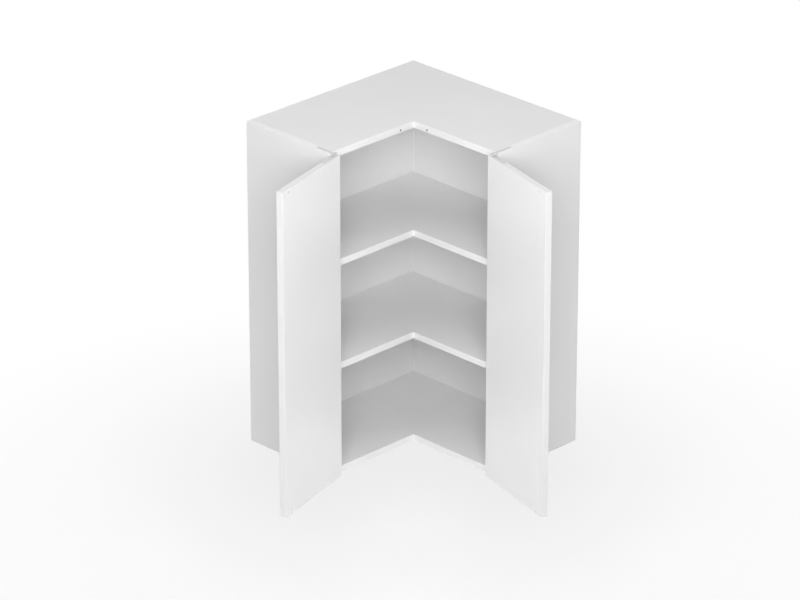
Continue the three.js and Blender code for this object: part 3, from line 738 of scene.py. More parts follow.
def brick(sheet, size, middle):
    body = sheet.add("GeometryNodeMeshCube", {"Size": size})
    return moved(sheet, body.outputs["Mesh"], middle)


def without(sheet, body, *cutters):
    node = sheet.add(
        "GeometryNodeMeshBoolean", {"Mesh 1": body, "Mesh 2": list(cutters)}, operation="DIFFERENCE",
        solver="EXACT",
    )
    return node.outputs["Mesh"]


def together(sheet, *bodies):
    return sheet.add("GeometryNodeJoinGeometry", {"Geometry": list(bodies)}).outputs[0]


def on_every_seat(sheet, given, result, body, spin=None):
    """Puts the body on each seat: its Z the way the seat faces and its X along the seat."""
    along, facing = (
        sheet.add("GeometryNodeInputNamedAttribute", {"Name": name}, data_type="FLOAT_VECTOR").outputs[0]
        for name in ("along", "facing")
    )
    rotation = sheet.add("FunctionNodeAlignRotationToVector", {"Vector": facing}, axis="Z").outputs[0]
    rotation = sheet.add(
        "FunctionNodeAlignRotationToVector", {"Rotation": rotation, "Vector": along}, axis="X",
        pivot_axis="Z",
    ).outputs[0]
    if spin is not None:
        turn = sheet.add("FunctionNodeAxisAngleToRotation", {"Axis": (0.0, 0.0, 1.0), "Angle": spin})
        rotation = sheet.add(
            "FunctionNodeRotateRotation", {0: rotation, 1: turn.outputs[0]}, rotation_space="LOCAL"
        ).outputs[0]
    inputs = {"Points": given["Seats"], "Instance": body, "Rotation": rotation}
    copies = sheet.add("GeometryNodeInstanceOnPoints", inputs).outputs[0]
    real = sheet.add("GeometryNodeRealizeInstances", {"Geometry": copies}).outputs[0]
    finished = sheet.add("GeometryNodeSetMaterial", {"Geometry": real, "Material": given["Finish"]})
    sheet.tree.links.new(finished.outputs[0], result[0])


def repeat_tree(name, **sizes):
    """A tree for a piece that is put on seats. Each size becomes an input with that default."""
    sockets = [("Seats", SHAPE, None), ("Finish", FINISH, None)]
    for key, size in sizes.items():
        sockets.append((key.replace("_", " "), WHOLE if isinstance(size, int) else FLOAT, size))
    return new_tree(name, "GeometryNodeTree", sockets, [("Geometry", SHAPE)])


def screw_tree():
    """A screw with a conical or cylindrical head, a cross recess and a plain shank.

    Its head's top is at z = 0 and its shank runs down. Each one is turned by chance.
    """
    sheet, given, result = repeat_tree(
        "Screws", Head_Top_Radius=3.05 * MM, Head_Bottom_Radius=1.7 * MM, Head_Height=1.35 * MM,
        Shank_Radius=1.6 * MM, Shank_Length=8 * MM, Recess_Reach=1.75 * MM, Recess_Width=0.75 * MM,
        Recess_Depth=1.1 * MM, Seed=7,
    )
    below = sheet.math("MULTIPLY", given["Head Height"], -1.0)
    head = cone(sheet, given["Head Bottom Radius"], given["Head Top Radius"], below, 0.0)
    reach = sheet.math("MULTIPLY", given["Recess Reach"], 2.0)
    depth = sheet.math("MULTIPLY", given["Recess Depth"], 2.0)
    recess = [
        brick(sheet, point(sheet, reach, given["Recess Width"], depth), (0, 0, 0)),
        brick(sheet, point(sheet, given["Recess Width"], reach, depth), (0, 0, 0)),
    ]
    head = without(sheet, head, *recess)
    middle = sheet.math("MULTIPLY_ADD", given["Shank Length"], -0.5, below)
    shank = rod(sheet, given["Shank Radius"], given["Shank Length"], point(sheet, z=middle), sides=24)
    spin = sheet.add("FunctionNodeRandomValue", {"Seed": given["Seed"]}, data_type="FLOAT")
    for socket in spin.inputs:
        if socket.identifier == "Max_001":
            socket.default_value = math.pi / 2
    angle = next(socket for socket in spin.outputs if socket.identifier == "Value_001")
    on_every_seat(sheet, given, result, together(sheet, head, shank), angle)
    return sheet.tree


def thread_tree():
    """A screw thread that winds down from z = 0."""
    sheet, given, result = repeat_tree(
        "Threads", Radius=1.95 * MM, Pitch=0.8 * MM, Length=30 * MM
    )
    turns = sheet.math("DIVIDE", given["Length"], given["Pitch"])
    path = sheet.add(
        "GeometryNodeCurveSpiral",
        {
            "Resolution": 20, "Rotations": turns, "Start Radius": given["Radius"],
            "End Radius": given["Radius"], "Height": given["Length"],
        },
    )
    ridge = sheet.add(
        "GeometryNodeCurvePrimitiveCircle",
        {"Resolution": 4, "Radius": sheet.math("MULTIPLY", given["Pitch"], 0.36)},
    )
    wound = sheet.add(
        "GeometryNodeCurveToMesh",
        {"Curve": path.outputs[0], "Profile Curve": ridge.outputs[0], "Fill Caps": True},
    )
    down = sheet.math("MULTIPLY", given["Length"], -1.0)
    on_every_seat(sheet, given, result, moved(sheet, wound.outputs[0], point(sheet, z=down)))
    return sheet.tree


PIN_FROM_SEAT = 2.5 * MM  # a support pin's axis below the shelf


def support_tree():
    """A shelf support: pin, collar and tongue.

    Its pin runs along X into the panel, and its seat faces Z. The origin is at the hole's mouth.
    """
    sheet, given, result = repeat_tree(
        "Shelf Supports", Pin_Radius=2.35 * MM, Pin_Length=10 * MM, Collar_Radius=4.5 * MM,
        Collar_Thickness=1.5 * MM, Tongue_Length=16 * MM, Tongue_Width=10 * MM,
        Tongue_Thickness=3 * MM, Seat_Height=PIN_FROM_SEAT, Eye_Radius=1.6 * MM,
    )
    sideways = (0, math.pi / 2, 0)
    pin_middle = sheet.math("MULTIPLY", given["Pin Length"], 0.5)
    pin = rod(sheet, given["Pin Radius"], given["Pin Length"], point(sheet, x=pin_middle), 32, sideways)
    collar_middle = sheet.math("MULTIPLY", given["Collar Thickness"], -0.5)
    collar_place = point(sheet, x=collar_middle)
    collar = rod(sheet, given["Collar Radius"], given["Collar Thickness"], collar_place, 40, sideways)
    above = sheet.math("ADD", given["Seat Height"], given["Collar Radius"])
    wide = sheet.math("MULTIPLY", given["Collar Radius"], 2.0)
    collar = without(sheet, collar, brick(sheet, point(sheet, wide, wide, wide), point(sheet, z=above)))
    half = sheet.math("MULTIPLY", given["Tongue Width"], 0.5)
    tip = sheet.math("SUBTRACT", half, given["Tongue Length"])
    thick = sheet.math("MULTIPLY", given["Tongue Thickness"], 0.5)
    tongue_middle = sheet.math("SUBTRACT", given["Seat Height"], thick)
    round_end = rod(sheet, half, given["Tongue Thickness"], point(sheet, tip, z=tongue_middle), 48)
    root_size = point(sheet, given["Collar Thickness"], given["Tongue Width"], given["Tongue Thickness"])
    root = brick(sheet, root_size, point(sheet, collar_middle, z=tongue_middle))
    tongue = sheet.add("GeometryNodeConvexHull", {0: together(sheet, round_end, root)}).outputs[0]
    eye = rod(sheet, given["Eye Radius"], wide, point(sheet, tip, z=tongue_middle), 28)
    on_every_seat(sheet, given, result, together(sheet, pin, collar, without(sheet, tongue, eye)))
    return sheet.tree


PIN_HOLE = 2.65 * MM
PIN_SINK = 3.75 * MM
LEAF_SCREW_FROM_END = 4 * MM  # from the middle of a leaf's round end
LEAF_SCREW_SPACING = 20 * MM


def leaf_tree():
    """A knife hinge leaf: a round-ended bar with a pin hole and two countersunk screw holes.

    The pin hole is at the origin, the bar runs along X and its face is at z = 0.
    """
    sheet, given, result = repeat_tree(
        "Hinge Leaves", Length=58.5 * MM, Width=10 * MM, Thickness=3 * MM, Pin_Hole_Radius=PIN_HOLE,
        Pin_Sink_Radius=PIN_SINK, Screw_Hole_Radius=1.8 * MM, Screw_Sink_Radius=3.2 * MM,
        Screw_From_End=LEAF_SCREW_FROM_END, Screw_Spacing=LEAF_SCREW_SPACING,
    )
    half = sheet.math("MULTIPLY", given["Width"], 0.5)
    middle = sheet.math("MULTIPLY", given["Thickness"], -0.5)
    ends = [
        rod(sheet, half, given["Thickness"], point(sheet, x, z=middle), 56)
        for x in (0.0, given["Length"])
    ]
    bar = sheet.add("GeometryNodeConvexHull", {0: together(sheet, *ends)}).outputs[0]
    tall = sheet.math("MULTIPLY", given["Thickness"], 3.0)
    first = sheet.math("SUBTRACT", given["Length"], given["Screw From End"])
    second = sheet.math("SUBTRACT", first, given["Screw Spacing"])
    holes = (
        (0.0, given["Pin Hole Radius"], given["Pin Sink Radius"]),
        (first, given["Screw Hole Radius"], given["Screw Sink Radius"]),
        (second, given["Screw Hole Radius"], given["Screw Sink Radius"]),
    )
    for x, radius, sink in holes:
        bar = without(sheet, bar, rod(sheet, radius, tall, point(sheet, x), 36))
        deep = sheet.math("SUBTRACT", radius, sink)
        over = sheet.math("MULTIPLY", deep, -1.0)
        flared = sheet.math("ADD", sink, over)
        plug = cone(sheet, radius, flared, deep, over, 36)
        bar = without(sheet, bar, moved(sheet, plug, point(sheet, x)))
    on_every_seat(sheet, given, result, bar)
    return sheet.tree


# ---- Boards ------------------------------------------------------------------------------------


class Plane:
    """An outer face of a board: the axis it is square to, its place on it and the way it faces."""

    def __init__(self, axis, place, facing):
        self.axis = "xyz".index(axis)
        self.place = place
        self.facing = facing

    def holds(self, face, reach=ON_PLANE, least=0.999):
        along = face.normal[self.axis] * self.facing
        return along > least and abs(face.calc_center_median()[self.axis] - self.place) < reach

    def borders(self, face, radius):
        """Whether the face is on the plane or in the rounding beside it."""
        return self.holds(face, radius * 1.2, 0.02)

    def mirrored(self):
        """The same plane on the left leg, where x becomes -y and y becomes -x."""
        if self.axis == 2:
            return self
        return Plane("yx"[self.axis], -self.place, -self.facing)


def dress_board(node, faces, bands, sawn, makers=(melamine_face, edge_band, level_chipboard),
                slot_name="carcass_board"):
    """Rounds a board's banded edges, breaks its sawn ones and gives each face its finish."""
    boards = bpy.context.scene.cabinet_boards
    shape = whole_shape(node)
    for some, others, radius, segments in (
        (bands, faces + bands, boards.band_radius, 3),
        (sawn, faces + sawn + bands, boards.raw_chamfer, 1),
    ):
        edges = []
        for edge in filter(is_crease, shape.edges):
            sides = edge.link_faces
            for one, other in (sides, reversed(sides)):
                if any(p.holds(one) for p in some) and any(p.holds(other) for p in others):
                    edges.append(edge)
                    break
        round_edges(shape, edges, radius, segments)
    for face in shape.faces:
        if any(plane.holds(face) for plane in faces):
            face.material_index = 0
        elif any(plane.borders(face, boards.band_radius) for plane in bands):
            face.material_index = 1
        else:
            face.material_index = 2
    dress(node, shape, makers, CABINET, slot_name)


class CABINET_OT_side_panels(bpy.types.Operator):
    """Dress the two side panels: melamine faces, banded edges and a sawn rear edge"""

    bl_idname = "corner_cabinet.side_panels"
    bl_label = "Side Panels"

    def execute(self, context):
        faces = [Plane("x", LEG, 1), Plane("x", INNER_SIDE, -1)]
        bands = [Plane("y", -DEPTH, -1), Plane("z", HEIGHT, 1), Plane("z", 0.0, -1)]
        sawn = [Plane("y", 0.0, 1)]
        right = (faces, bands, sawn)
        left = [[plane.mirrored() for plane in group] for group in right]
        makers = (melamine_face, side_band, upright_chipboard)
        for side, planes in (("right", right), ("left", left)):
            dress_board(side + "_side_panel", *planes, makers)
        return {"FINISHED"}


class CABINET_OT_level_panels(bpy.types.Operator):
    """Dress the L-shaped top and bottom panels between the sides"""

    bl_idname = "corner_cabinet.level_panels"
    bl_label = "Top and Bottom Panels"

    def execute(self, context):
        bands = [Plane("y", -DEPTH, -1), Plane("x", DEPTH, 1)]
        for node in ("top_panel", "bottom_panel"):
            low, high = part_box(node)
            # The ends butt against the side panels, so they stay square.
            faces = [
                Plane("z", high.z, 1), Plane("z", low.z, -1), Plane("x", high.x, 1),
                Plane("y", low.y, -1),
            ]
            dress_board(node, faces, bands, [Plane("y", high.y, 1), Plane("x", low.x, -1)])
        return {"FINISHED"}


class CABINET_OT_shelves(bpy.types.Operator):
    """Dress the two L-shaped shelves, banded all round"""

    bl_idname = "corner_cabinet.shelves"
    bl_label = "Shelves"

    def execute(self, context):
        for node in SHELVES:
            low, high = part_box(node)
            places = {round(vertex.co.x, 5) for vertex in frame["nodes"][node].data.vertices}
            front = sorted(places)[1]
            bands = [
                Plane("x", front, 1), Plane("y", -front, -1), Plane("x", high.x, 1),
                Plane("y", low.y, -1), Plane("x", low.x, -1), Plane("y", high.y, 1),
            ]
            dress_board(node, [Plane("z", high.z, 1), Plane("z", low.z, -1)], bands, [])
        return {"FINISHED"}


class CABINET_OT_backs(bpy.types.Operator):
    """Dress the two back panels and the corner post behind them"""

    bl_idname = "corner_cabinet.backs"
    bl_label = "Backs and Corner Post"

    def execute(self, context):
        low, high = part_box("right_back_panel")
        right = [Plane("y", high.y, 1), Plane("y", low.y, -1)]
        left = [plane.mirrored() for plane in right]
        makers = (back_melamine, edge_band, fibreboard_core)
        for side, faces in (("right", right), ("left", left)):
            dress_board(side + "_back_panel", faces, [], [], makers, "back_board")
        post = whole_shape("rear_corner_post")
        round_creases(post, context.scene.cabinet_boards.raw_chamfer * 2)
        dress("rear_corner_post", post, [sawn_softwood], CABINET, "post_wood")
        return {"FINISHED"}


class CABINET_OT_doors(bpy.types.Operator):
    """Dress the two doors: white lacquer with rounded edges"""

    bl_idname = "corner_cabinet.doors"
    bl_label = "Doors"

    def execute(self, context):
        radius = context.scene.cabinet_doors.edge_radius
        low, high = closed_box("right_door")
        outer = [Plane("xyz"[axis], low[axis], -1) for axis in range(3)]
        outer += [Plane("xyz"[axis], high[axis], 1) for axis in range(3)]
        for side in SIDES:
            node = side + "_door"
            opened = placing(side, on_door=True)
            shape = placed_shape(whole_shape(node), opened.inverted())
            edges = [
                edge for edge in filter(is_crease, shape.edges)
                if all(any(plane.holds(face) for plane in outer) for face in edge.link_faces)
            ]
            round_edges(shape, edges, radius, 4)
            for face in shape.faces:
                # Faces on the door's edges take the darker edge white, which is painted shade.
                is_band = any(plane.borders(face, radius) for plane in outer if plane.axis != 1)
                face.material_index = int(is_band)
            dress(node, placed_shape(shape, opened), [door_lacquer, door_edge_painted_shade], node, "door_board")
        return {"FINISHED"}


# ---- Hardware ----------------------------------------------------------------------------------

TURN_STEPS = 48


def turned_shape(profile, ring=False):
    """A closed body turned about Z from [radius, height] pairs that run from bottom to top.

    With ring set, the profile is a closed loop round an open middle.
    """
    shape = bmesh.new()
    rings = []
    for radius, height in profile:
        count = TURN_STEPS if radius else 1
        angles = [math.tau * step / TURN_STEPS for step in range(count)]
        rings.append([
            shape.verts.new((radius * math.cos(angle), radius * math.sin(angle), height))
            for angle in angles
        ])
    pairs = list(zip(rings, rings[1:]))
    if ring:
        pairs.append((rings[-1], rings[0]))
    for lower, upper in pairs:
        for step in range(TURN_STEPS):
            after = (step + 1) % TURN_STEPS
            corners = [lower[step % len(lower)], lower[after % len(lower)],
                       upper[after % len(upper)], upper[step % len(upper)]]
            shape.faces.new(list(dict.fromkeys(corners)))
    bmesh.ops.recalc_face_normals(shape, faces=shape.faces)
    return shape


def middle_at(low, high, y):
    """The middle of a box in x and z, at the given y."""
    return Vector(((low.x + high.x) / 2, y, (low.z + high.z) / 2))


def turned_to(place, facing):
    """The matrix that stands a turned shape on a place, with its axis the way it faces."""
    return Matrix.Translation(place) @ Vector(facing).to_track_quat("Z", "Y").to_matrix().to_4x4()


def at_hinges(kind):
    """The names of a kind of piece that all four hinges have."""
    return [f"{side}_{end}_{kind}" for side in SIDES for end in ENDS]


def leaf_seats(side, on_door):
    """The seats of a side's upper and lower leaves. Each leaf starts at the pin."""
    top = closed_box("right_upper_door_leaf")[1].z if on_door else HEIGHT
    along = TO_CORNER if on_door else TO_WALL
    place = Vector((PIVOT.x, PIVOT.y, top))
    return [Seat(place, UP, along, placing(side, end, on_door)) for end in ENDS]


def leaf_reach(on_door):
    """From the pin to the middle of the leaf's round end."""
    low, high = closed_box("right_upper_door_leaf") if on_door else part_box("right_upper_cabinet_leaf")
    if on_door:
        return (high.x - low.x) - (high.y - low.y)
    return (high.y - low.y) - (high.x - low.x)


def screw_seats(side, on_door):
    """Two screws in each leaf."""
    seats = []
    sink = bpy.context.scene.cabinet_hardware.screw_sink
    for seat in leaf_seats(side, on_door):
        first = leaf_reach(on_door) - LEAF_SCREW_FROM_END
        for reach in (first, first - LEAF_SCREW_SPACING):
            seats.append(Seat(seat.place + seat.along * reach - seat.facing * sink, seat.facing))
    return seats


class CABINET_OT_supports(bpy.types.Operator):
    """Build the twelve shelf supports and put each pin in its hole"""

    bl_idname = "corner_cabinet.supports"
    bl_label = "Shelf Supports"

    back_pin = 7 * MM  # shorter than in the side panels, because the backs are thin

    def execute(self, context):
        side_seats, back_seats, nodes = [], [], []
        for shelf in SHELVES:
            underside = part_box(shelf)[0].z - PIN_FROM_SEAT
            for side in SIDES:
                for spot in ("front", "rear", "corner"):
                    nodes.append(f"{side}_{shelf}_support_{spot}")
                    middle = middle_of(f"right_{shelf}_support_{spot}")
                    if spot == "corner":
                        back_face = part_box("right_back_panel")[0].y
                        place, along = (middle.x, back_face, underside), TO_WALL
                    else:
                        place, along = (INNER_SIDE, middle.y, underside), -TO_CORNER
                    seat = Seat(place, UP, along, placing(side))
                    (back_seats if spot == "corner" else side_seats).append(seat)
        parts = [
            repeated_mesh("side_supports", support_tree, side_seats, zinc_plate),
            repeated_mesh(
                "back_supports", support_tree, back_seats, zinc_plate, Pin_Length=self.back_pin
            ),
        ]
        mesh = joined_meshes("shelf_supports", parts)
        softened(mesh, context.scene.cabinet_hardware.stamped_radius * 1.5)
        settle(finished_piece(mesh, "shelf_supports"), CABINET, "zinc_steel", *nodes)
        return {"FINISHED"}


class CABINET_OT_hinges(bpy.types.Operator):
    """Build the knife hinges: leaves, riveted pins and washers"""

    bl_idname = "corner_cabinet.hinges"
    bl_label = "Hinges"

    # The pin's head fills the cabinet leaf's countersink, and the door leaf's hole is only eased.
    door_sink = 3.2 * MM

    def execute(self, context):
        seats = [seat for side in SIDES for seat in leaf_seats(side, False)]
        nodes = at_hinges("cabinet_leaf")
        self.leaves("cabinet_leaves", CABINET, seats, nodes, leaf_reach(False), PIN_SINK)
        for side in SIDES:
            nodes = [f"{side}_{end}_door_leaf" for end in ENDS]
            self.leaves(
                side + "_door_leaves", side + "_door", leaf_seats(side, True), nodes,
                leaf_reach(True), self.door_sink,
            )
        self.turned_pieces("hinge_pin", self.pin_profile(), False, turned_steel, "pin_steel")
        self.turned_pieces("hinge_washer", self.washer_profile(), True, white_nylon, "white_plastic")
        return {"FINISHED"}

    @staticmethod
    def leaves(name, body, seats, nodes, reach, sink):
        mesh = repeated_mesh(name, leaf_tree, seats, satin_nickel, Length=reach, Pin_Sink_Radius=sink)
        softened(mesh, bpy.context.scene.cabinet_hardware.stamped_radius)
        settle(finished_piece(mesh, name), body, "hinge_steel", *nodes)

    @staticmethod
    def turned_pieces(kind, profile, ring, maker, slot_name):
        meshes = []
        for side in SIDES:
            for end in ENDS:
                matrix = placing(side, end) @ Matrix.Translation((PIVOT.x, PIVOT.y, 0))
                shape = placed_shape(turned_shape(profile, ring), matrix)
                meshes.append(mesh_from(shape, kind))
        mesh = joined_meshes(kind + "s", meshes)
        mesh.materials.append(workshop.get(maker))
        settle(finished_piece(mesh, kind + "s"), CABINET, slot_name, *at_hinges(kind))

    @staticmethod
    def pin_profile():
        """A pin with a chamfered foot, and a riveted head that fills its countersink."""
        low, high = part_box("right_upper_hinge_pin")
        head, body, sink = 3.6 * MM, 2.5 * MM, 1.2 * MM
        dimple, dimple_depth = 1.3 * MM, 0.45 * MM
        foot = [(0, low.z), (body - 0.6 * MM, low.z), (body, low.z + 0.8 * MM)]
        rim = [(body, high.z - sink), (head, high.z - 0.12 * MM), (head - 0.25 * MM, high.z)]
        hollow = [
            (dimple, high.z - 0.04 * MM), (dimple - 0.2 * MM, high.z - 0.3 * MM),
            (0, high.z - dimple_depth),
        ]
        return foot + rim + hollow

    @staticmethod
    def washer_profile():
        low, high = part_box("right_upper_hinge_washer")
        outer = (high.x - low.x) / 2
        inner, soft = PIN_HOLE, 0.2 * MM
        return [
            (inner, low.z + soft), (inner + soft, low.z), (outer - soft, low.z), (outer, low.z + soft),
            (outer, high.z - soft), (outer - soft, high.z), (inner + soft, high.z),
            (inner, high.z - soft),
        ]


class CABINET_OT_screws(bpy.types.Operator):
    """Drive the countersunk screws of the hinges and strikes"""

    bl_idname = "corner_cabinet.screws"
    bl_label = "Screws"

    head_edge = 0.12 * MM  # rounding of the heads and recesses

    def execute(self, context):
        hardware = context.scene.cabinet_hardware
        sizes = {"Head_Top_Radius": hardware.screw_head_radius, "Seed": hardware.spin_seed}
        seats = [seat for side in SIDES for seat in screw_seats(side, False)]
        mesh = repeated_mesh("cabinet_leaf_screws", screw_tree, seats, zinc_plate, **sizes)
        self.finish(mesh, CABINET)
        for side in SIDES:
            seats = screw_seats(side, True) + [self.strike_seat(side, hardware.screw_sink)]
            mesh = repeated_mesh(side + "_door_screws", screw_tree, seats, zinc_plate, **sizes)
            self.finish(mesh, side + "_door")
        return {"FINISHED"}

    def finish(self, mesh, body):
        settle(finished_piece(softened(mesh, self.head_edge), mesh.name), body, "zinc_steel")

    @staticmethod
    def strike_seat(side, sink):
        """In the middle of the strike's face, which looks at the carcass when the door is closed."""
        low, high = closed_box("right_catch_strike")
        return Seat(middle_at(low, high, high.y - sink), TO_WALL, UP, placing(side, on_door=True))


class CABINET_OT_catches(bpy.types.Operator):
    """Build the magnets, their strikes and the door bumpers"""

    bl_idname = "corner_cabinet.catches"
    bl_label = "Catches"

    def execute(self, context):
        for side in SIDES:
            self.magnet(side)
            self.strike(side)
            self.bumper(side)
        return {"FINISHED"}

    @staticmethod
    def magnet(side):
        """A ribbed nylon sleeve with a steel-faced magnet in its mouth."""
        low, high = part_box("right_catch_magnet")
        deep, proud = high.y + DEPTH, -DEPTH - low.y
        body, collar, face = 4 * MM, 5 * MM, 2.7 * MM
        taper, rib_pitch, rib_height = 1 * MM, 1.6 * MM, 0.25 * MM
        soft, face_drop = 0.15 * MM, 0.03 * MM
        profile = [(0, -deep), (body - taper, -deep), (body - 0.4 * MM, -deep + taper)]
        rib = -deep + 2 * MM
        while rib < -3 * MM:
            for rise, height in ((0, rib_height), (rib_pitch / 4, 0), (rib_pitch / 2, rib_height)):
                profile.append((body - height, rib + rise))
            rib += rib_pitch
        profile += [
            (body, 0), (collar, 0), (collar, proud - soft), (collar - soft, proud),
            (face + 0.35 * MM, proud), (face + 0.2 * MM, proud - soft), (face, proud - soft),
            (face - 0.1 * MM, proud - face_drop), (0, proud - face_drop),
        ]
        shape = turned_shape(profile)
        shape.normal_update()
        for side_face in shape.faces:
            middle = side_face.calc_center_median()
            if math.hypot(middle.x, middle.y) < face and middle.z > 0:
                side_face.material_index = 1
        shape = placed_shape(shape, placing(side) @ turned_to(middle_at(low, high, -DEPTH), TO_ROOM))
        dress(side + "_catch_magnet", shape, [white_nylon, turned_steel], CABINET, "white_plastic")

    @staticmethod
    def strike(side):
        """An enamelled steel disc with a countersunk hole."""
        low, high = closed_box("right_catch_strike")
        outer, thick = (high.x - low.x) / 2, high.y - low.y
        hole, sink, soft = 1.8 * MM, 3.15 * MM, 0.3 * MM
        profile = [
            (hole, 0), (outer, 0), (outer, thick - soft * 1.6), (outer - soft * 0.5, thick - soft * 0.6),
            (outer - soft * 1.5, thick), (sink, thick), (hole, thick - (sink - hole) * 0.85),
        ]
        matrix = placing(side, on_door=True) @ turned_to(middle_at(low, high, low.y), TO_WALL)
        shape = placed_shape(turned_shape(profile, ring=True), matrix)
        dress(side + "_catch_strike", shape, [white_enamel], side + "_door", "white_steel")

    @staticmethod
    def bumper(side):
        """A clear rubber dome."""
        low, high = closed_box("right_door_bumper")
        outer, thick = (high.x - low.x) / 2, high.y - low.y
        steps = 10
        profile = [(0, 0), (outer, 0), (outer, thick * 0.2)]
        for step in range(1, steps):
            angle = math.pi / 2 * step / steps
            profile.append((outer * math.cos(angle), thick * (0.2 + 0.8 * math.sin(angle))))
        profile.append((0, thick))
        matrix = placing(side, on_door=True) @ turned_to(middle_at(low, high, low.y), TO_WALL)
        shape = placed_shape(turned_shape(profile), matrix)
        dress(side + "_door_bumper", shape, [clear_rubber], side + "_door", "clear_rubber")


class CABINET_OT_hangers(bpy.types.Operator):
    """Dress the wall hangers: housings, hooks, adjusting screws, covers and wall plates"""

    bl_idname = "corner_cabinet.hangers"
    bl_label = "Wall Hangers"

    short_rim = 4 * MM  # shorter creases are the rims of the housing's bores and pegs
    long_bend = 10 * MM  # shorter creases are corners, not bends
    least_strip = 3 * MM  # narrower faces are the steel's own thickness
    head_radius, head_height, head_edge = 3.5 * MM, 2.5 * MM, 0.15 * MM
    shank_radius = 1.7 * MM
    thread_end = 0.5 * MM  # plain tip below the thread

    def execute(self, context):
        hardware = context.scene.cabinet_hardware
        for side in SIDES:
            for kind, least in (("hanger_housing", self.short_rim), ("hanger_cover", 0.0)):
                shape = whole_shape(f"{side}_{kind}")
                round_creases(shape, hardware.moulded_radius, 3, least)
                dress(f"{side}_{kind}", shape, [white_nylon], CABINET, "white_plastic")
            for kind in ("hanger_hook", "wall_plate"):
                shape = whole_shape(f"{side}_{kind}")
                self.round_bends(shape, side, hardware.bend_radius)
                round_creases(shape, hardware.stamped_radius)
                dress(f"{side}_{kind}", shape, [zinc_plate], CABINET, "zinc_steel")
        self.adjusters(hardware)
        return {"FINISHED"}

    def round_bends(self, shape, side, radius):
        """Rounds the outsides of the bends, which run along the wall."""
        along = Vector((1, 0, 0) if side == "right" else (0, 1, 0))
        edges = []
        for edge in filter(is_crease, shape.edges):
            run = edge.verts[1].co - edge.verts[0].co
            if run.length <= self.long_bend or abs(run.normalized().dot(along)) < 0.999:
                continue
            strip = min(face.calc_area() / run.length for face in edge.link_faces)
            if edge.is_convex and strip > self.least_strip:
                edges.append(edge)
        round_edges(shape, edges, radius, 4)

    def adjusters(self, hardware):
        """The screws that raise the cabinet and pull it to the wall."""
        for kind, run in (("hanger_height_screw", UP), ("hanger_depth_screw", TO_WALL)):
            low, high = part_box("right_" + kind)
            size = (high - low).dot(run)
            start = middle_of("right_" + kind) - run * size / 2
            shank_length = size - self.head_height
            head_seats, thread_seats = (
                [Seat(place, -run, TO_CORNER, placing(side)) for side in SIDES]
                for place in (start, start + run * self.head_height)
            )
            body = repeated_mesh(
                kind + "s", screw_tree, head_seats, turned_steel,
                Head_Top_Radius=self.head_radius, Head_Bottom_Radius=self.head_radius,
                Head_Height=self.head_height, Shank_Radius=self.shank_radius,
                Shank_Length=shank_length, Recess_Width=0.9 * MM, Recess_Reach=2.0 * MM,
                Recess_Depth=1.4 * MM, Seed=hardware.spin_seed,
            )
            softened(body, self.head_edge)
            wound = repeated_mesh(
                kind + "_threads", thread_tree, thread_seats, turned_steel,
                Radius=self.shank_radius, Pitch=hardware.thread_pitch,
                Length=shank_length - self.thread_end,
            )
            piece = finished_piece(joined_meshes(kind + "s", [body, wound]), kind + "s")
            settle(piece, CABINET, "pin_steel", *[f"{side}_{kind}" for side in SIDES])


# ---- Stage -------------------------------------------------------------------------------------


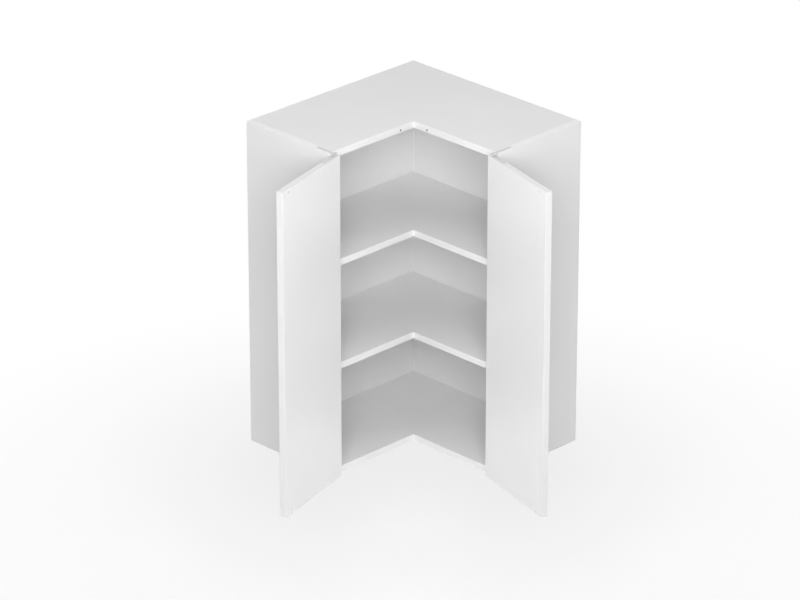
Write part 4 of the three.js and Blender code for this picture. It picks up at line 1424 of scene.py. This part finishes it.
class CABINET_OT_stage(bpy.types.Operator):
    """Set the floor, the soft studio light and the camera"""

    bl_idname = "corner_cabinet.stage"
    bl_label = "Stage"

    # The view of the drawing: over the diagonal, from well away, so uprights stay parallel.
    azimuth = math.radians(45)
    elevation = math.radians(24.32)
    distance = 12.0
    lens = 206.3
    aim_from_middle = (-0.03485, -0.13053)  # to the right and up in the picture

    floor_bounce = 0.8  # grey that the cabinet is lit by
    floor_grey, floor_glow = 0.52, 0.485  # what is seen near the cabinet: lit grey plus its own light
    floor_melts = (0.7, 1.9)  # distances over which that grey turns white
    floor_reach = 40.0

    def execute(self, context):
        stage = context.scene.cabinet_stage
        self.set_camera(context)
        self.set_surround(context, stage.surround)
        self.set_floor(stage.floor_drop)
        for name, azimuth, elevation, distance, size, power in (
            ("front_softbox", 45, 27, 3.4, 1.6, stage.front_light),
            ("inner_softbox", 45, 20, 3.0, 1.2, stage.inner_light),
            ("rear_left_softbox", 285, 18, 4.5, 3.0, stage.rear_light),
            ("rear_right_softbox", 165, 18, 4.5, 3.0, stage.rear_light),
            ("top_softbox", 45, 80, 3.4, 2.6, stage.top_light),
        ):
            self.set_lamp(name, azimuth, elevation, distance, size, power)
        context.scene.view_settings.view_transform = "Standard"
        return {"FINISHED"}

    @staticmethod
    def backwards(azimuth, elevation):
        """From what is looked at, towards the one who looks."""
        level = math.cos(elevation)
        return Vector((math.sin(azimuth) * level, -math.cos(azimuth) * level, math.sin(elevation)))

    @staticmethod
    def aimed(name, data, aim, back, distance):
        """A camera or lamp at a distance from what it looks at."""
        thing = linked(name, data)
        thing.location = aim + back * distance
        thing.rotation_euler = (-back).to_track_quat("-Z", "Y").to_euler()
        return thing

    def set_camera(self, context):
        back = self.backwards(self.azimuth, self.elevation)
        right = Vector((math.cos(self.azimuth), math.sin(self.azimuth), 0.0))
        aim = Vector((DEPTH / 2, -DEPTH / 2, HEIGHT / 2))
        aim += right * self.aim_from_middle[0] + back.cross(right) * self.aim_from_middle[1]
        data = bpy.data.cameras.new("camera")
        data.lens = self.lens
        data.sensor_width = 36.0
        data.clip_end = 100.0
        context.scene.camera = self.aimed("camera", data, aim, back, self.distance)

    @staticmethod
    def looked_at(sheet, lighting, seen):
        """The seen shader for the camera and for gloss and glass, and the other for all else."""
        path = sheet.add("ShaderNodeLightPath").outputs
        direct = sheet.math("MAXIMUM", path["Is Camera Ray"], path["Is Transmission Ray"])
        direct = sheet.math("MAXIMUM", direct, path["Is Glossy Ray"])
        return sheet.add("ShaderNodeMixShader", {0: direct, 1: lighting, 2: seen}).outputs[0]

    def set_surround(self, context, strength):
        """Even white light that is plain white where it is looked at."""
        world = bpy.data.worlds.new("surround")
        sheet = empty_sheet(world)
        light = sheet.add("ShaderNodeBackground", {"Strength": strength}).outputs[0]
        white = sheet.add("ShaderNodeBackground", {"Strength": 1.0}).outputs[0]
        sheet.add("ShaderNodeOutputWorld", {"Surface": self.looked_at(sheet, light, white)})
        context.scene.world = world

    def set_floor(self, drop):
        """A pale floor that keeps the cabinet's soft shadow and melts into white further out."""
        shape = bmesh.new()
        bmesh.ops.create_grid(shape, x_segments=1, y_segments=1, size=self.floor_reach)
        bmesh.ops.translate(shape, verts=shape.verts, vec=(0, 0, -drop))
        mesh = mesh_from(shape, "floor")
        floor = linked("floor", mesh)
        material = bpy.data.materials.new("pale_floor")
        sheet = empty_sheet(material)
        bounce, half_lit = (
            sheet.add("ShaderNodeBsdfDiffuse", {"Color": (grey, grey, grey, 1)}).outputs[0]
            for grey in (self.floor_bounce, self.floor_grey)
        )
        glow, white = (
            sheet.add("ShaderNodeEmission", {"Strength": strength}).outputs[0]
            for strength in (self.floor_glow, 1.0)
        )
        near = sheet.add("ShaderNodeAddShader", {0: half_lit, 1: glow}).outputs[0]
        from_middle = sheet.add(
            "ShaderNodeVectorMath", {0: sheet.place(), 1: (DEPTH / 2, -DEPTH / 2, -drop)},
            operation="DISTANCE",
        )
        far = sheet.ramp(from_middle.outputs["Value"], *self.floor_melts, interpolation_type="SMOOTHSTEP")
        seen = sheet.add("ShaderNodeMixShader", {0: far, 1: near, 2: white}).outputs[0]
        sheet.add("ShaderNodeOutputMaterial", {"Surface": self.looked_at(sheet, bounce, seen)})
        mesh.materials.append(material)

    def set_lamp(self, name, azimuth, elevation, distance, size, power):
        back = self.backwards(math.radians(azimuth), math.radians(elevation))
        data = bpy.data.lights.new(name, "AREA")
        data.shape = "SQUARE"
        data.size = size
        data.energy = power
        lamp = self.aimed(name, data, Vector((DEPTH, -DEPTH, HEIGHT / 2)), back, distance)
        # The low softboxes would glare on the top panel from behind, so only the top one shows
        # in gloss.
        lamp.visible_glossy = name == "top_softbox"


class CABINET_PT_build(bpy.types.Panel):
    """Lists the build steps and their settings"""

    bl_idname = "CABINET_PT_build"
    bl_label = "Corner Wall Cabinet"
    bl_space_type = "VIEW_3D"
    bl_region_type = "UI"
    bl_category = "Cabinet"

    def draw(self, context):
        for group, scene_name in SETTINGS.items():
            for name in group.__annotations__:
                self.layout.prop(getattr(context.scene, scene_name), name)
        for operator in OPERATORS:
            self.layout.operator(operator.bl_idname)


SETTINGS = {
    CabinetBoards: "cabinet_boards",
    CabinetDoors: "cabinet_doors",
    CabinetHardware: "cabinet_hardware",
    CabinetStage: "cabinet_stage",
}

OPERATORS = (
    CABINET_OT_side_panels,
    CABINET_OT_level_panels,
    CABINET_OT_shelves,
    CABINET_OT_backs,
    CABINET_OT_doors,
    CABINET_OT_supports,
    CABINET_OT_hinges,
    CABINET_OT_screws,
    CABINET_OT_catches,
    CABINET_OT_hangers,
    CABINET_OT_stage,
)


def register():
    for group, name in SETTINGS.items():
        bpy.utils.register_class(group)
        setattr(bpy.types.Scene, name, PointerProperty(type=group))
    for kind in (*OPERATORS, CABINET_PT_build):
        bpy.utils.register_class(kind)


def unregister():
    for kind in (CABINET_PT_build, *reversed(OPERATORS)):
        bpy.utils.unregister_class(kind)
    for group, name in SETTINGS.items():
        delattr(bpy.types.Scene, name)
        bpy.utils.unregister_class(group)


def main():
    register()
    for operator in OPERATORS:
        module, name = operator.bl_idname.split(".")
        getattr(getattr(bpy.ops, module), name)()


if __name__ == "__main__":
    main()
